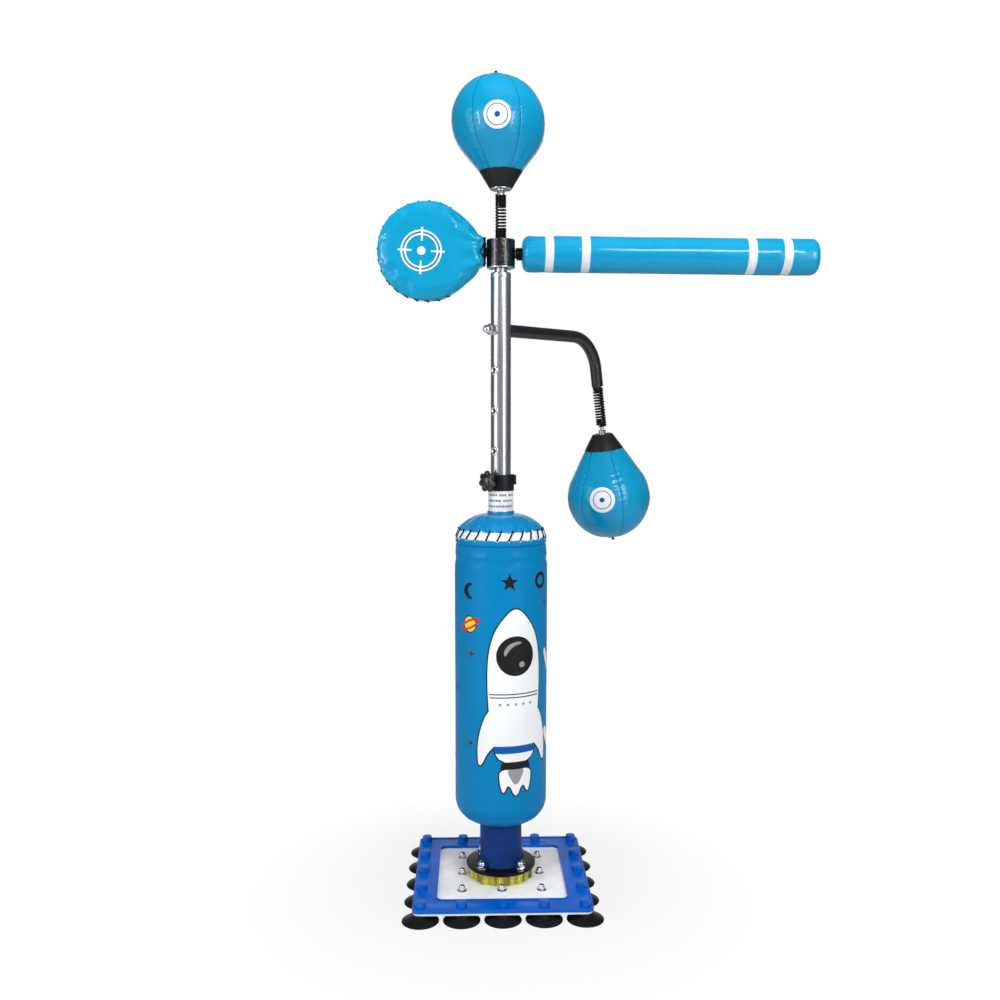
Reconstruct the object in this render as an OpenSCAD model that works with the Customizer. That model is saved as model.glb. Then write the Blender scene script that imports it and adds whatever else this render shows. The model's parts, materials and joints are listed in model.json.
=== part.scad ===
// Free standing boxing trainer: a padded bag on a suction cup base, with a telescopic
// mast that carries a spinning bar and paddle, and two punch balls on coil springs.
// Millimetres. +Z is up, and the origin is on the floor under the mast.
// The bar points along +X and the paddle along -X; the player stands on the -Y side.

/* [Base] */
// Side of the white base plate
plate_side = 324; // [316:1:336]
// Thickness of the white base plate
plate_t = 6; // [5:0.5:6]
// Distance between neighbouring suction cups
cup_pitch = 74.5; // [72:0.5:75]
// Diameter of a suction cup's lip
cup_d = 68; // [60:1:70]
// Height of the plate's underside above the floor
cup_h = 15; // [15:1:17]
// Opening inside the blue stud frame
frame_opening = 240; // [236:1:242]
// Diameter of the black flange disc
flange_d = 133; // [126:1:134]

/* [Column and bag] */
// Outer diameter of the fixed tube
tube_d = 45; // [45:0.5:46]
// Height of the fixed tube's top end
tube_top = 778; // [774:1:782]
// Outer diameter of the padded bag
bag_d = 174; // [166:1:180]
// Height of the bag's lower end
bag_bottom = 135; // [130:1:140]
// Height of the seam at the top of the bag's body
bag_rim = 682; // [678:1:683]
// Outer diameter of the blue column sleeve
sleeve_d = 80; // [78:1:80]

/* [Mast] */
// Outer diameter of the sliding mast tube
mast_d = 38; // [38:0.1:38]
// Height of the sliding mast's top end at rest
mast_top = 1173; // [1165:1:1180]
// Height of the lowest accessory hole at rest
hole_z = 842; // [840:1:845]
// Distance between accessory holes
hole_pitch = 75; // [75:1:76]

/* [Hub, bar and paddle] */
// Outer diameter of the spinning hub
hub_d = 53; // [52:0.5:54]
// Height of the spinning hub
hub_h = 50; // [50:1:51]
// Outer diameter of the padded bar
bar_d = 67; // [60:1:70]
// Distance from the mast's axis to the bar's far end
bar_reach = 592; // [500:1:700]
// Diameter of the round paddle
paddle_d = 187; // [180:1:200]
// Thickness of the paddle
paddle_t = 50; // [46:1:56]
// Distance from the mast's axis to the paddle's centre
paddle_reach = 135; // [133:1:145]

/* [Punch balls] */
// Diameter of a punch ball
ball_d = 172; // [164:1:176]
// Free length of the upper ball's spring
top_spring_len = 84.5; // [78:0.5:90]
// Free length of the lower ball's spring
arm_spring_len = 85; // [80:1:92]
// Outer diameter of the side arm's tube
arm_d = 24; // [22:0.5:25]
// Straight length of the side arm before its bend, from the mast's axis
arm_straight = 211.5; // [190:0.5:230]

/* [Hidden] */
$fn = 64;
eps = 0.01;             // overlap that makes cuts clean

// Base heights
plate_top = cup_h + plate_t;
frame_t = 4;
frame_side = plate_side + 4;
frame_skirt = 1.5;      // the frame's edge reaches down over the plate's
frame_top = plate_top + frame_t;
lip_h = 1.5;            // rounded rims of the frame, above its face
lip_w = 3;
corner_r = 12;
foot_r = 20;
boss_r = 10.5;          // hollow studs on the frame, a little narrower at the top
boss_top_r = 9.3;
boss_wall = 1.5;
boss_h = 10.5;
grid = [-2:2];

// Shock absorber and flange
absorber_top = 42;
absorber_r = 58;
absorber_bore = 24;
lobe_count = 10;
lobe_r = 8.5;
lobe_reach = 62.5;       // outermost radius of the lobes
flange_t = 5;
flange_top = absorber_top + flange_t;
flange_bolt_r = 52;     // radius of the flange's bolt circle
base_bolt_r = 38;       // radius of the bolt circle under the absorber
insert_r = 5;           // threaded inserts moulded into the absorber
base_insert_h = 11;
top_insert_h = 12;
stud_reach = 8;         // stud above the flange
washer_t = 1.6;
m8 = 4;                 // shank radii
m6 = 3;
m10 = 5;

// Column and bag
tube_r = tube_d / 2;
tube_wall = 2;
sleeve_top = 165;
sleeve_wall = 3;
sleeve_flare = 3;
bag_r = bag_d / 2;
skin = 1.5;             // thickness of the leather covers
bag_round = 44;         // rounding at the bag's lower end
cap_edge_z = 693;
cap_edge_r = 79;
neck_z = 727;
neck_r = tube_r + 1.7;
core_r = tube_r + 4;
core_top = 690;
lace_count = 24;
lace_first = 11.3;

// Mast, collar and knob
mast_r = mast_d / 2;
mast_bottom = 480;
mast_wall = 2;
slide_gap = 0.05;       // running clearance
hole_count = 4;
hole_r = 5.2;
hole_lip = 0.8;         // raised edge around each accessory hole
front_left = 225;       // direction of the accessory holes and of the knob
back_right = 45;        // direction of the side arm
collar_bottom = 767.5;
collar_top = 797.5;
collar_r = 25;
ear_x = 29;
knob_z = 785.5;
knob_r = 19.5;
knob_lobes = 7;
knob_dome_r = 12.5;
knob_dome_h = 5;
bolt_hole_z = hole_z + (hole_count - 1) * hole_pitch;

// Hub
hub_bottom = 1182.5;
hub_top = hub_bottom + hub_h;
hub_mid = hub_bottom + hub_h / 2;
hub_r = hub_d / 2;
bearing_bore = 10;
bearing_od = 21;
bearing_w = 12;
bearing_z = [hub_bottom + 2, hub_top - 2 - bearing_w];
ball_track = 15.5;
ball_count = 8;
ball_r = 3;
cover_t = 1.5;          // thickness of the plate under the hub

// Bar and paddle
side_pivot = 35;        // where the bar's and the paddle's springs bend
bar_start = 37.5;
bar_r = bar_d / 2;
bar_round = 15;
bar_z = hub_mid - 0.7;
paddle_z = hub_mid + 3;
bar_core_r = 13.5;
core_start = 62;
side_spring_len = 54;
side_spring_start = hub_r + 0.5;
paddle_r = paddle_d / 2;
neck_end = 33;
neck_half = 27.5;
neck_turn = 42;         // angle at which the paddle's outline leaves its circle
board_t = 10;
board_r = 70;
board_start = side_spring_start + side_spring_len;

// Springs
spring_r = 10.2;
wire_r = 1.4;
top_close_pitch = 4;    // pitch of the closer turns near a spring's ends
arm_close_pitch = 3.7;
coil_sides = 12;        // steps in one turn of a coil
seat_r = (spring_r - 2 * wire_r) * cos(180 / coil_sides) - slide_gap;
side_spring_r = 12;
side_wire_r = 1.75;
side_pitch = 2 * side_wire_r + 0.08;
side_seat_r = (side_spring_r - 2 * side_wire_r) * cos(180 / coil_sides) - slide_gap;

// Punch ball, measured along its own axis from the spring's far end
top_nut_h = 6.5;
arm_nut_h = 13;
nut_flats = 16;
disc_t = 2.5;
top_disc_r = 20;
arm_disc_r = 9.3;
cone_low_r = 21;
cone_h = 30;
cone_top_r = 39;
top_ball_center = 119;  // from the cone's small end to the ball's centre
arm_ball_center = 131;
cone_wall = 2.5;
nub_h = 6;

// Side arm
arm_r = arm_d / 2;
arm_wall = 2;
arm_bend_r = 75;
arm_bend = 80;
arm_tail = 37;
arm_z = bolt_hole_z;
arm_plug = 34;
thread_play = 0.05;

// ---------------------------------------------------------------- helpers

module rounded_square(side, r) {
    square([side - 2 * r, side], center = true);
    square([side, side - 2 * r], center = true);
    for (x = [-1, 1], y = [-1, 1])
        translate([x * (side / 2 - r), y * (side / 2 - r)]) circle(r);
}

module ring(r_out, r_in, h) {
    difference() {
        cylinder(r = r_out, h = h);
        translate([0, 0, -1]) cylinder(r = r_in, h = h + 2);
    }
}

module on_circle(r, count, first = 0) {
    for (i = [0:count - 1]) rotate(first + i * 360 / count) translate([r, 0, 0]) children();
}

// A hexagon's corner radius from its width across flats
function hex_r(flats) = flats / sqrt(3);

// A closed cap nut that stands on z = 0, on a threaded shank
module cap_nut(flats, hex_h, dome_r, total_h, shank_r, depth) {
    difference() {
        union() {
            cylinder(r = hex_r(flats), h = hex_h, $fn = 6);
            cylinder(r = dome_r, h = total_h - dome_r);
            translate([0, 0, total_h - dome_r]) sphere(dome_r);
        }
        translate([0, 0, -1]) cylinder(r = shank_r, h = depth + 1);
    }
}

// Height along a coil spring after t turns: closed ends and an open middle
function coil_z(t, first, open, close_pitch, open_pitch) =
    t < first ? t * close_pitch
    : t < first + open ? first * close_pitch + (t - first) * open_pitch
    : first * close_pitch + open * open_pitch + (t - first - open) * close_pitch;

// A coil spring of the given length, from z = 0 upwards
module coil_spring(len, r, wire, close_pitch, first, open, last, steps = coil_sides, sides = 6) {
    mean_r = r - wire;
    rise = len - 2 * wire;
    open_pitch = open > 0 ? (rise - (first + last) * close_pitch) / open : close_pitch;
    turns = first + open + last;
    count = floor(turns * steps);
    points = [
        for (i = [0:count]) for (j = [0:sides - 1])
            let (t = i / steps, a = 360 * t, b = 360 * j / sides, rr = mean_r + wire * cos(b))
            [rr * cos(a), rr * sin(a),
             wire + coil_z(t, first, open, close_pitch, open_pitch) + wire * sin(b)]
    ];
    faces = [
        [for (j = [0:sides - 1]) j],
        for (i = [0:count - 1]) for (j = [0:sides - 1])
            let (k = (j + 1) % sides)
            [i * sides + j, (i + 1) * sides + j, (i + 1) * sides + k, i * sides + k],
        [for (j = [sides - 1:-1:0]) count * sides + j]
    ];
    polyhedron(points, faces);
}

// ---------------------------------------------------------------- base

module cup_body() {
    lip = cup_d / 2;
    rotate_extrude() polygon([
        [0, 5.5], [8, 5], [20, 3], [lip - 3.5, 0], [lip, 0], [lip, 1.2], [24, 5.2],
        [14, 8.8], [9, 11.5], [8, cup_h], [0, cup_h]
    ]);
}

// A cup whose rubber button snaps up through the plate into a hollow stud
module button_cup() {
    cup_body();
    translate([0, 0, cup_h - eps]) cylinder(r = 6, h = plate_t + 2 * eps);
    translate([0, 0, plate_top]) cylinder(r1 = 8, r2 = 5, h = 4);
}

module cup_bolt() {
    translate([0, 0, 8]) cylinder(r = 5.5, h = 2);
    translate([0, 0, 9]) cylinder(r = m6, h = plate_top + 10 - 9);
}

module bolted_cup() {
    difference() {
        cup_body();
        cup_bolt();
    }
}

module inner_grid() {
    for (i = [-1:1], j = [-1:1])
        if (i != 0 || j != 0) translate([i * cup_pitch, j * cup_pitch, 0]) children();
}

module outer_grid() {
    for (i = grid, j = grid)
        if (abs(i) == 2 || abs(j) == 2) translate([i * cup_pitch, j * cup_pitch, 0]) children();
}

module suction_cups_outer() { color([0.05, 0.05, 0.05]) outer_grid() button_cup(); }
module suction_cups_inner() { color([0.05, 0.05, 0.05]) inner_grid() bolted_cup(); }

// Solid rubber foot under the mast, in place of a centre cup
module center_foot() {
    color([0.05, 0.05, 0.05]) cylinder(r = foot_r, h = cup_h);
}

module base_plate() {
    color([0.93, 0.94, 0.95]) difference() {
        translate([0, 0, cup_h]) linear_extrude(plate_t) rounded_square(plate_side, corner_r);
        outer_grid() translate([0, 0, cup_h - 1]) cylinder(r = 6, h = plate_t + 2);
        inner_grid() translate([0, 0, cup_h - 1]) cylinder(r = m6, h = plate_t + 2);
        on_circle(base_bolt_r, 4) translate([0, 0, cup_h - 1]) cylinder(r = m6, h = plate_t + 2);
    }
}

module frame_band(outer, inner, h) {
    linear_extrude(h) difference() {
        rounded_square(outer, corner_r);
        rounded_square(inner, corner_r);
    }
}

module stud_frame() {
    color([0.1, 0.36, 0.75]) difference() {
        union() {
            translate([0, 0, plate_top]) frame_band(frame_side, frame_opening, frame_t);
            translate([0, 0, plate_top])
                frame_band(frame_side, frame_side - 2 * lip_w, frame_t + lip_h);
            translate([0, 0, plate_top])
                frame_band(frame_opening + 2 * lip_w, frame_opening, frame_t + lip_h);
            translate([0, 0, plate_top - frame_skirt])
                frame_band(frame_side, plate_side, frame_skirt + 1);
            outer_grid() translate([0, 0, plate_top + 1])
                cylinder(r1 = boss_r, r2 = boss_top_r, h = frame_t + boss_h - 1);
        }
        outer_grid() translate([0, 0, plate_top - 1])
            cylinder(r1 = boss_r - boss_wall, r2 = boss_top_r - boss_wall, h = frame_t + boss_h - 0.5);
    }
}

module cup_bolts() { color([0.8, 0.8, 0.82]) inner_grid() cup_bolt(); }

module cup_washers() {
    color([0.8, 0.8, 0.82]) inner_grid() translate([0, 0, plate_top]) ring(8, m6, 1.4);
}

module cup_cap_nuts() {
    color([0.85, 0.85, 0.87]) inner_grid() translate([0, 0, plate_top + 1.4])
        cap_nut(10, 5, 4.6, 11, m6, plate_top + 10 - (plate_top + 1.4));
}

// ---------------------------------------------------------------- shock absorber and flange

module absorber_base_inserts() {
    color([0.8, 0.7, 0.4]) on_circle(base_bolt_r, 4) translate([0, 0, plate_top])
        ring(insert_r, m6, base_insert_h);
}

module absorber_base_screws() {
    color([0.75, 0.75, 0.77]) on_circle(base_bolt_r, 4) {
        translate([0, 0, cup_h - 3]) cylinder(r = 5.5, h = 3);
        translate([0, 0, cup_h - 1]) cylinder(r = m6, h = 1 + plate_t + base_insert_h - 1);
    }
}

module shock_absorber() {
    color([0.75, 0.8, 0.1, 0.8]) difference() {
        translate([0, 0, plate_top]) linear_extrude(absorber_top - plate_top) {
            circle(absorber_r);
            for (i = [0:lobe_count - 1]) rotate(270 + i * 360 / lobe_count)
                translate([lobe_reach - lobe_r, 0]) circle(lobe_r);
        }
        translate([0, 0, plate_top - 1]) cylinder(r = absorber_bore, h = absorber_top);
        on_circle(base_bolt_r, 4) translate([0, 0, plate_top - 1])
            cylinder(r = insert_r, h = 1 + base_insert_h);
        on_circle(flange_bolt_r, 4, 45) translate([0, 0, absorber_top - top_insert_h])
            cylinder(r = insert_r, h = top_insert_h + 1);
    }
}

module absorber_top_inserts() {
    color([0.8, 0.7, 0.4]) on_circle(flange_bolt_r, 4, 45)
        translate([0, 0, absorber_top - top_insert_h]) ring(insert_r, m8, top_insert_h);
}

module flange_disc() {
    color([0.06, 0.06, 0.07]) difference() {
        translate([0, 0, absorber_top]) cylinder(r = flange_d / 2, h = flange_t);
        translate([0, 0, absorber_top - 1]) cylinder(r = tube_r, h = flange_t + 2);
        on_circle(flange_bolt_r, 4, 45) translate([0, 0, absorber_top - 1])
            cylinder(r = m8 + 0.25, h = flange_t + 2);
    }
}

module flange_studs() {
    color([0.8, 0.8, 0.82]) on_circle(flange_bolt_r, 4, 45)
        translate([0, 0, absorber_top - top_insert_h + 1])
            cylinder(r = m8, h = top_insert_h - 1 + flange_t + stud_reach);
}

module flange_washers() {
    color([0.85, 0.85, 0.87]) on_circle(flange_bolt_r, 4, 45)
        translate([0, 0, flange_top]) ring(8, m8, washer_t);
}

module flange_cap_nuts() {
    color([0.85, 0.85, 0.87]) on_circle(flange_bolt_r, 4, 45)
        translate([0, 0, flange_top + washer_t]) cap_nut(12.5, 6.5, 5.8, 13.5, m8, stud_reach - washer_t);
}

// ---------------------------------------------------------------- column and bag

module column_sleeve() {
    r = sleeve_d / 2;
    color([0.09, 0.2, 0.48]) rotate_extrude() difference() {
        polygon([
            [tube_r, flange_top], [r + sleeve_flare, flange_top], [r + sleeve_flare * 0.4, flange_top + 8],
            [r, flange_top + 25], [r, sleeve_top], [tube_r, sleeve_top]
        ]);
        translate([tube_r - 1, flange_top - 1])
            square([r - sleeve_wall - tube_r + 1, sleeve_top - flange_top + 1 - 4]);
    }
}

module fixed_tube() {
    color([0.7, 0.72, 0.74]) translate([0, 0, absorber_top])
        ring(tube_r, tube_r - tube_wall, tube_top - absorber_top);
}

module label_band() {
    color([0.95, 0.95, 0.95]) translate([0, 0, neck_z + 2])
        ring(tube_r + 0.4, tube_r, collar_bottom - neck_z - 2.5);
}

module bag_core_tube() {
    color([0.6, 0.6, 0.6]) translate([0, 0, sleeve_top]) ring(core_r, tube_r, core_top - sleeve_top);
}

// Outline of the bag's body, from its lower hole up to the top seam
function bag_outline(inset) = [
    [sleeve_d / 2 + 0.5, bag_bottom + inset],
    for (a = [-90:15:0])
        [bag_r - bag_round + (bag_round - inset) * cos(a),
         bag_bottom + bag_round + (bag_round - inset) * sin(a)],
    [bag_r - inset, bag_rim - 14],
    [bag_r - inset - 1.5, bag_rim - 4]
];

module bag_foam() {
    color([0.85, 0.85, 0.8]) rotate_extrude() difference() {
        polygon(concat(bag_outline(skin), [
            [bag_r - 7, bag_rim - 4], [bag_r - 12, cap_edge_z - 4], [60, cap_edge_z + 9],
            [core_r, cap_edge_z + 14], [core_r, sleeve_top], [sleeve_d / 2, sleeve_top]
        ]));
        square([sleeve_d / 2, sleeve_top]);
    }
}

module bag_cover() {
    color([0.02, 0.5, 0.76]) rotate_extrude() polygon(concat(
        bag_outline(0),
        [[bag_r - 1.5, bag_rim], [bag_r - 4.5, bag_rim], [bag_r - 4.5, bag_rim - 4]],
        [for (i = [len(bag_outline(skin)) - 1:-1:0]) bag_outline(skin)[i]]
    ));
}

module bag_liner() {
    r = bag_r - 7;
    color([0.96, 0.96, 0.96]) rotate_extrude() polygon([
        [r, bag_rim - 4], [r + 2, bag_rim - 4], [r + 2, bag_rim + 3], [cap_edge_r - 1, cap_edge_z - 1.5],
        [62, cap_edge_z + 12], [60, cap_edge_z + 9], [bag_r - 12, cap_edge_z - 4]
    ]);
}

module bag_cap() {
    color([0.02, 0.5, 0.76]) rotate_extrude() polygon([
        [neck_r, neck_z + 1], [neck_r, cap_edge_z + 14], [core_r, cap_edge_z + 14], [60, cap_edge_z + 9],
        [62, cap_edge_z + 12], [cap_edge_r - 1, cap_edge_z - 1.5], [cap_edge_r + 1, cap_edge_z],
        [cap_edge_r - 2, cap_edge_z + 6.5], [61, neck_z - 17], [43, neck_z - 8.5],
        [neck_r + 2, neck_z - 1], [neck_r + 2, neck_z + 1]
    ]);
}

// The lace crosses the white liner in slanted stitches
module bag_lacing() {
    lean = 2.5;         // degrees each stitch leans around the bag
    low_r = bag_r - 0.8;
    high_r = cap_edge_r + 0.5;
    low_z = bag_rim - 3;
    high_z = cap_edge_z + 2;
    color([0.05, 0.05, 0.05]) for (i = [0:lace_count - 1]) rotate(lace_first + i * 360 / lace_count) {
        low = [low_r * cos(-lean), low_r * sin(-lean), low_z];
        high = [high_r * cos(lean), high_r * sin(lean), high_z];
        run = high - low;
        translate(low) rotate([0, acos(run.z / norm(run)), atan2(run.y, run.x)])
            cylinder(r = 1.1, h = norm(run), $fn = 16);
    }
}

// ---------------------------------------------------------------- collar and knob

module at_front_left() { rotate(front_left) children(); }

module clamp_collar() {
    color([0.05, 0.05, 0.06]) difference() {
        union() {
            translate([0, 0, collar_bottom]) cylinder(r = collar_r, h = collar_top - collar_bottom);
            translate([0, -6, collar_top - 19]) cube([ear_x, 12, 18]);
            at_front_left() translate([0, 0, knob_z]) rotate([0, 90, 0]) cylinder(r = 8, h = collar_r + 3);
        }
        translate([0, 0, collar_bottom - 1]) cylinder(r = tube_r, h = tube_top - collar_bottom + 1);
        translate([0, 0, tube_top - 1]) cylinder(r = mast_r + slide_gap, h = 30);
        // Groove that lets the raised edges of the accessory holes pass
        at_front_left() translate([0, -8.5, tube_top - 1]) cube([tube_r - tube_wall, 17, 30]);
        rotate(back_right) translate([0, -8.5, tube_top - 1]) cube([tube_r - tube_wall, 17, 30]);
        translate([0, -0.75, collar_bottom - 1]) cube([ear_x + 1, 1.5, 40]);
        at_front_left() translate([0, 0, knob_z]) rotate([0, 90, 0]) cylinder(r = m8, h = 40);
        translate([ear_x - 2.3, 0, collar_top - 10]) rotate([90, 0, 0])
            cylinder(r = 1.3, h = 20, center = true);
    }
}

module collar_screw() {
    color([0.75, 0.75, 0.77]) translate([ear_x - 2.3, 0, collar_top - 10]) {
        rotate([90, 0, 0]) cylinder(r = 1.3, h = 13, center = true);
        translate([0, -6, 0]) rotate([90, 0, 0]) cylinder(r = 2.2, h = 2);
        translate([0, 8, 0]) rotate([90, 0, 0]) cylinder(r = hex_r(4), h = 2, $fn = 6);
    }
}

module star_knob() {
    start = collar_r + 3.6;
    dome = (knob_dome_r * knob_dome_r + knob_dome_h * knob_dome_h) / (2 * knob_dome_h);
    color([0.04, 0.04, 0.05]) at_front_left() translate([0, 0, knob_z]) rotate([0, 90, 0]) {
        translate([0, 0, mast_r + hole_lip + 0.4]) cylinder(r = m8 - 0.05, h = start - mast_r);
        translate([0, 0, start]) cylinder(r1 = 9, r2 = knob_dome_r, h = 4);
        translate([0, 0, start + 4]) linear_extrude(8) {
            circle(knob_r - 6);
            for (i = [0:knob_lobes - 1]) rotate(i * 360 / knob_lobes)
                translate([knob_r - 4.6, 0]) circle(4.6);
        }
        translate([0, 0, start + 12 + knob_dome_h - dome]) intersection() {
            sphere(dome);
            translate([0, 0, dome - knob_dome_h - 1]) cylinder(r = knob_dome_r, h = knob_dome_h + 2);
        }
    }
}

// ---------------------------------------------------------------- mast

module accessory_hole(z, r, reach) {
    translate([0, 0, z]) rotate([0, 90, front_left]) cylinder(r = r, h = 2 * reach, center = true);
}

module mast_tube() {
    top = mast_top - 10;
    color([0.72, 0.74, 0.76]) difference() {
        union() {
            translate([0, 0, mast_bottom]) cylinder(r = mast_r, h = top - mast_bottom);
            for (i = [0:hole_count - 1]) intersection() {
                accessory_hole(hole_z + i * hole_pitch, hole_r + 1.8, 30);
                translate([0, 0, mast_bottom]) cylinder(r = mast_r + hole_lip, h = top - mast_bottom);
            }
        }
        translate([0, 0, mast_bottom - 1]) cylinder(r = mast_r - mast_wall, h = top - mast_bottom + 2);
        for (i = [0:hole_count - 1]) accessory_hole(hole_z + i * hole_pitch, hole_r, 30);
    }
}

module mast_end_plug() {
    inner = mast_r - mast_wall;
    color([0.08, 0.08, 0.08]) {
        difference() {
            union() {
                translate([0, 0, mast_bottom - 12]) cylinder(r = tube_r - tube_wall - slide_gap, h = 12);
                translate([0, 0, mast_bottom - 1]) cylinder(r = inner, h = 19);
            }
            translate([0, 0, mast_bottom - 13]) cylinder(r = inner - 3, h = 40);
        }
    }
}

module mast_cap_spindle() {
    inner = mast_r - mast_wall;
    color([0.78, 0.79, 0.8]) rotate_extrude() polygon([
        [0, mast_top - 26], [inner, mast_top - 26], [inner, mast_top - 10], [mast_r, mast_top - 10],
        [mast_r, mast_top - 2], [mast_r - 2, mast_top], [12, mast_top], [12, bearing_z[0]],
        [bearing_bore, bearing_z[0]], [bearing_bore, bearing_z[1] + bearing_w],
        [m10, bearing_z[1] + bearing_w], [m10, hub_top + 6], [0, hub_top + 6]
    ]);
}

module race(r_in, r_out, groove_r) {
    rotate_extrude() difference() {
        translate([r_in, 0]) square([r_out - r_in, bearing_w]);
        translate([ball_track, bearing_w / 2]) circle(groove_r);
    }
}

module bearing_inner_races() {
    color([0.8, 0.8, 0.82]) for (z = bearing_z) translate([0, 0, z])
        race(bearing_bore, 13.2, ball_r - 0.02);
}

module bearing_balls() {
    color([0.85, 0.85, 0.87]) for (z = bearing_z) translate([0, 0, z + bearing_w / 2])
        on_circle(ball_track, ball_count) sphere(ball_r);
}

module bearing_outer_races() {
    color([0.8, 0.8, 0.82]) for (z = bearing_z) translate([0, 0, z])
        race(17.8, bearing_od, ball_r + slide_gap);
}

// Nut on the spindle, with the post that the upper ball's spring screws on to
module spindle_nut() {
    bottom = bearing_z[1] + bearing_w;
    color([0.75, 0.75, 0.77]) difference() {
        union() {
            translate([0, 0, bottom]) cylinder(r = 12.5, h = hub_top - bottom);
            translate([0, 0, hub_top - 1]) cylinder(r = seat_r, h = 16);
        }
        translate([0, 0, bottom - 1]) cylinder(r = m10, h = hub_top + 6 - bottom + 1);
    }
}

// ---------------------------------------------------------------- hub

module hub_housing() {
    color([0.06, 0.06, 0.07]) difference() {
        union() {
            translate([0, 0, hub_bottom]) cylinder(r = hub_r, h = hub_h);
            translate([0, 0, bar_z]) rotate([0, 90, 0])
                cylinder(r = side_seat_r, h = side_spring_start + 14);
            translate([0, 0, paddle_z]) rotate([0, -90, 0])
                cylinder(r = side_seat_r, h = side_spring_start + 14);
        }
        translate([0, 0, hub_bottom - 1]) cylinder(r = bearing_od, h = bearing_w + 3);
        translate([0, 0, bearing_z[1]]) cylinder(r = bearing_od, h = 30);
        translate([0, 0, hub_bottom - 1]) cylinder(r = 17.5, h = bearing_z[1] - hub_bottom + 2);
        on_circle(23.9, 4, 45) translate([0, 0, hub_bottom - 1]) cylinder(r = 1.25, h = 9);
    }
}

// Ring pressed in above the upper bearing
module hub_lid() {
    bottom = bearing_z[1] + bearing_w;
    color([0.06, 0.06, 0.07]) translate([0, 0, bottom]) ring(bearing_od, 14, hub_top - bottom);
}

module hub_cover_plate() {
    color([0.8, 0.81, 0.82]) difference() {
        translate([0, 0, hub_bottom - cover_t]) cylinder(r = hub_r - 0.3, h = cover_t);
        translate([0, 0, hub_bottom - 3]) cylinder(r = 13.5, h = 6);
        on_circle(23.9, 4, 45) translate([0, 0, hub_bottom - 3]) cylinder(r = 1.25, h = 6);
    }
}

module hub_cover_screws() {
    color([0.3, 0.3, 0.32]) on_circle(23.9, 4, 45) {
        translate([0, 0, hub_bottom - cover_t - 1.2]) cylinder(r = 2.1, h = 1.2);
        translate([0, 0, hub_bottom - cover_t - 1]) cylinder(r = 1.25, h = 9);
    }
}

// ---------------------------------------------------------------- bar

module along_bar(x) { translate([x, 0, bar_z]) rotate([0, 90, 0]) children(); }

module bar_spring() {
    color([0.08, 0.08, 0.08]) along_bar(side_spring_start)
        coil_spring(side_spring_len, side_spring_r, side_wire_r, side_pitch, 6, 0, 8.1);
}

module bar_core() {
    length = bar_reach - 14 - core_start;
    color([0.75, 0.75, 0.77]) along_bar(core_start) {
        ring(bar_core_r, side_spring_r, length);
        translate([0, 0, side_spring_start + side_spring_len - core_start])
            cylinder(r = side_spring_r, h = 6);
        translate([0, 0, side_spring_start + side_spring_len - core_start - 16])
            cylinder(r = side_seat_r, h = 17);
    }
}

function bar_outline(inset) = [
    [16, bar_start + inset],
    for (a = [-90:15:0]) [bar_r - bar_round + (bar_round - inset) * cos(a),
                          bar_start + bar_round + (bar_round - inset) * sin(a)],
    for (a = [0:15:90]) [bar_r - bar_round + (bar_round - inset) * cos(a),
                         bar_reach - bar_round + (bar_round - inset) * sin(a)],
    [0, bar_reach - inset]
];

module bar_foam() {
    color([0.85, 0.85, 0.8]) along_bar(0) rotate_extrude() difference() {
        polygon(concat(bar_outline(skin), [[0, bar_start + skin]]));
        square([16, core_start]);
        square([bar_core_r, bar_reach - 14]);
    }
}

module bar_cover() {
    color([0.0, 0.68, 0.88]) along_bar(0) rotate_extrude() difference() {
        polygon(concat(bar_outline(0), [[0, bar_reach], [0, bar_start]]));
        polygon(concat(bar_outline(skin), [[0, bar_start + skin]]));
        square([16, bar_start + 5]);
    }
}

// ---------------------------------------------------------------- paddle

module along_paddle(x) { translate([-x, 0, paddle_z]) rotate([0, -90, 0]) children(); }

module paddle_spring() {
    color([0.08, 0.08, 0.08]) along_paddle(side_spring_start)
        coil_spring(side_spring_len, side_spring_r, side_wire_r, side_pitch, 6, 0, 8.1);
}

// A disc whose sides run in to a short neck
module paddle_slab(inset, t) {
    r = paddle_r - inset;
    reach = paddle_reach - neck_end - inset;
    half = neck_half - inset;
    neck = [
        [r * cos(neck_turn), r * sin(neck_turn)], [reach - 17, half + 15.5], [reach - 11, half + 7],
        [reach - 5, half + 2.5], [reach, half]
    ];
    translate([-paddle_reach, t / 2, paddle_z]) rotate([90, 0, 0]) {
        cylinder(r = r, h = t);
        linear_extrude(t) polygon(concat(
            [[0, 0]], neck, [for (i = [len(neck) - 1:-1:0]) [neck[i].x, -neck[i].y]]
        ));
    }
}

module paddle_board_shape(gap) {
    translate([-paddle_reach, board_t / 2 + gap, paddle_z]) rotate([90, 0, 0])
        linear_extrude(board_t + 2 * gap) circle(board_r + gap);
    along_paddle(board_start) cylinder(r = side_spring_r, h = 6);
    along_paddle(board_start - 16) cylinder(r = side_seat_r, h = 17);
}

module paddle_board() {
    color([0.7, 0.6, 0.45]) difference() {
        paddle_board_shape(0);
        along_paddle(side_spring_start - 1) ring(side_spring_r + 0.4, side_seat_r, side_spring_len + 1);
    }
}

module paddle_foam() {
    color([0.85, 0.85, 0.8]) difference() {
        paddle_slab(skin, paddle_t - 2 * skin);
        paddle_board_shape(0);
        along_paddle(0) cylinder(r = side_spring_r + 1.5, h = board_start);
    }
}

module paddle_cover() {
    color([0.0, 0.68, 0.88]) difference() {
        paddle_slab(0, paddle_t);
        paddle_slab(skin, paddle_t - 2 * skin);
        along_paddle(0) cylinder(r = side_spring_r + 4, h = neck_end + 5);
    }
}

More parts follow.
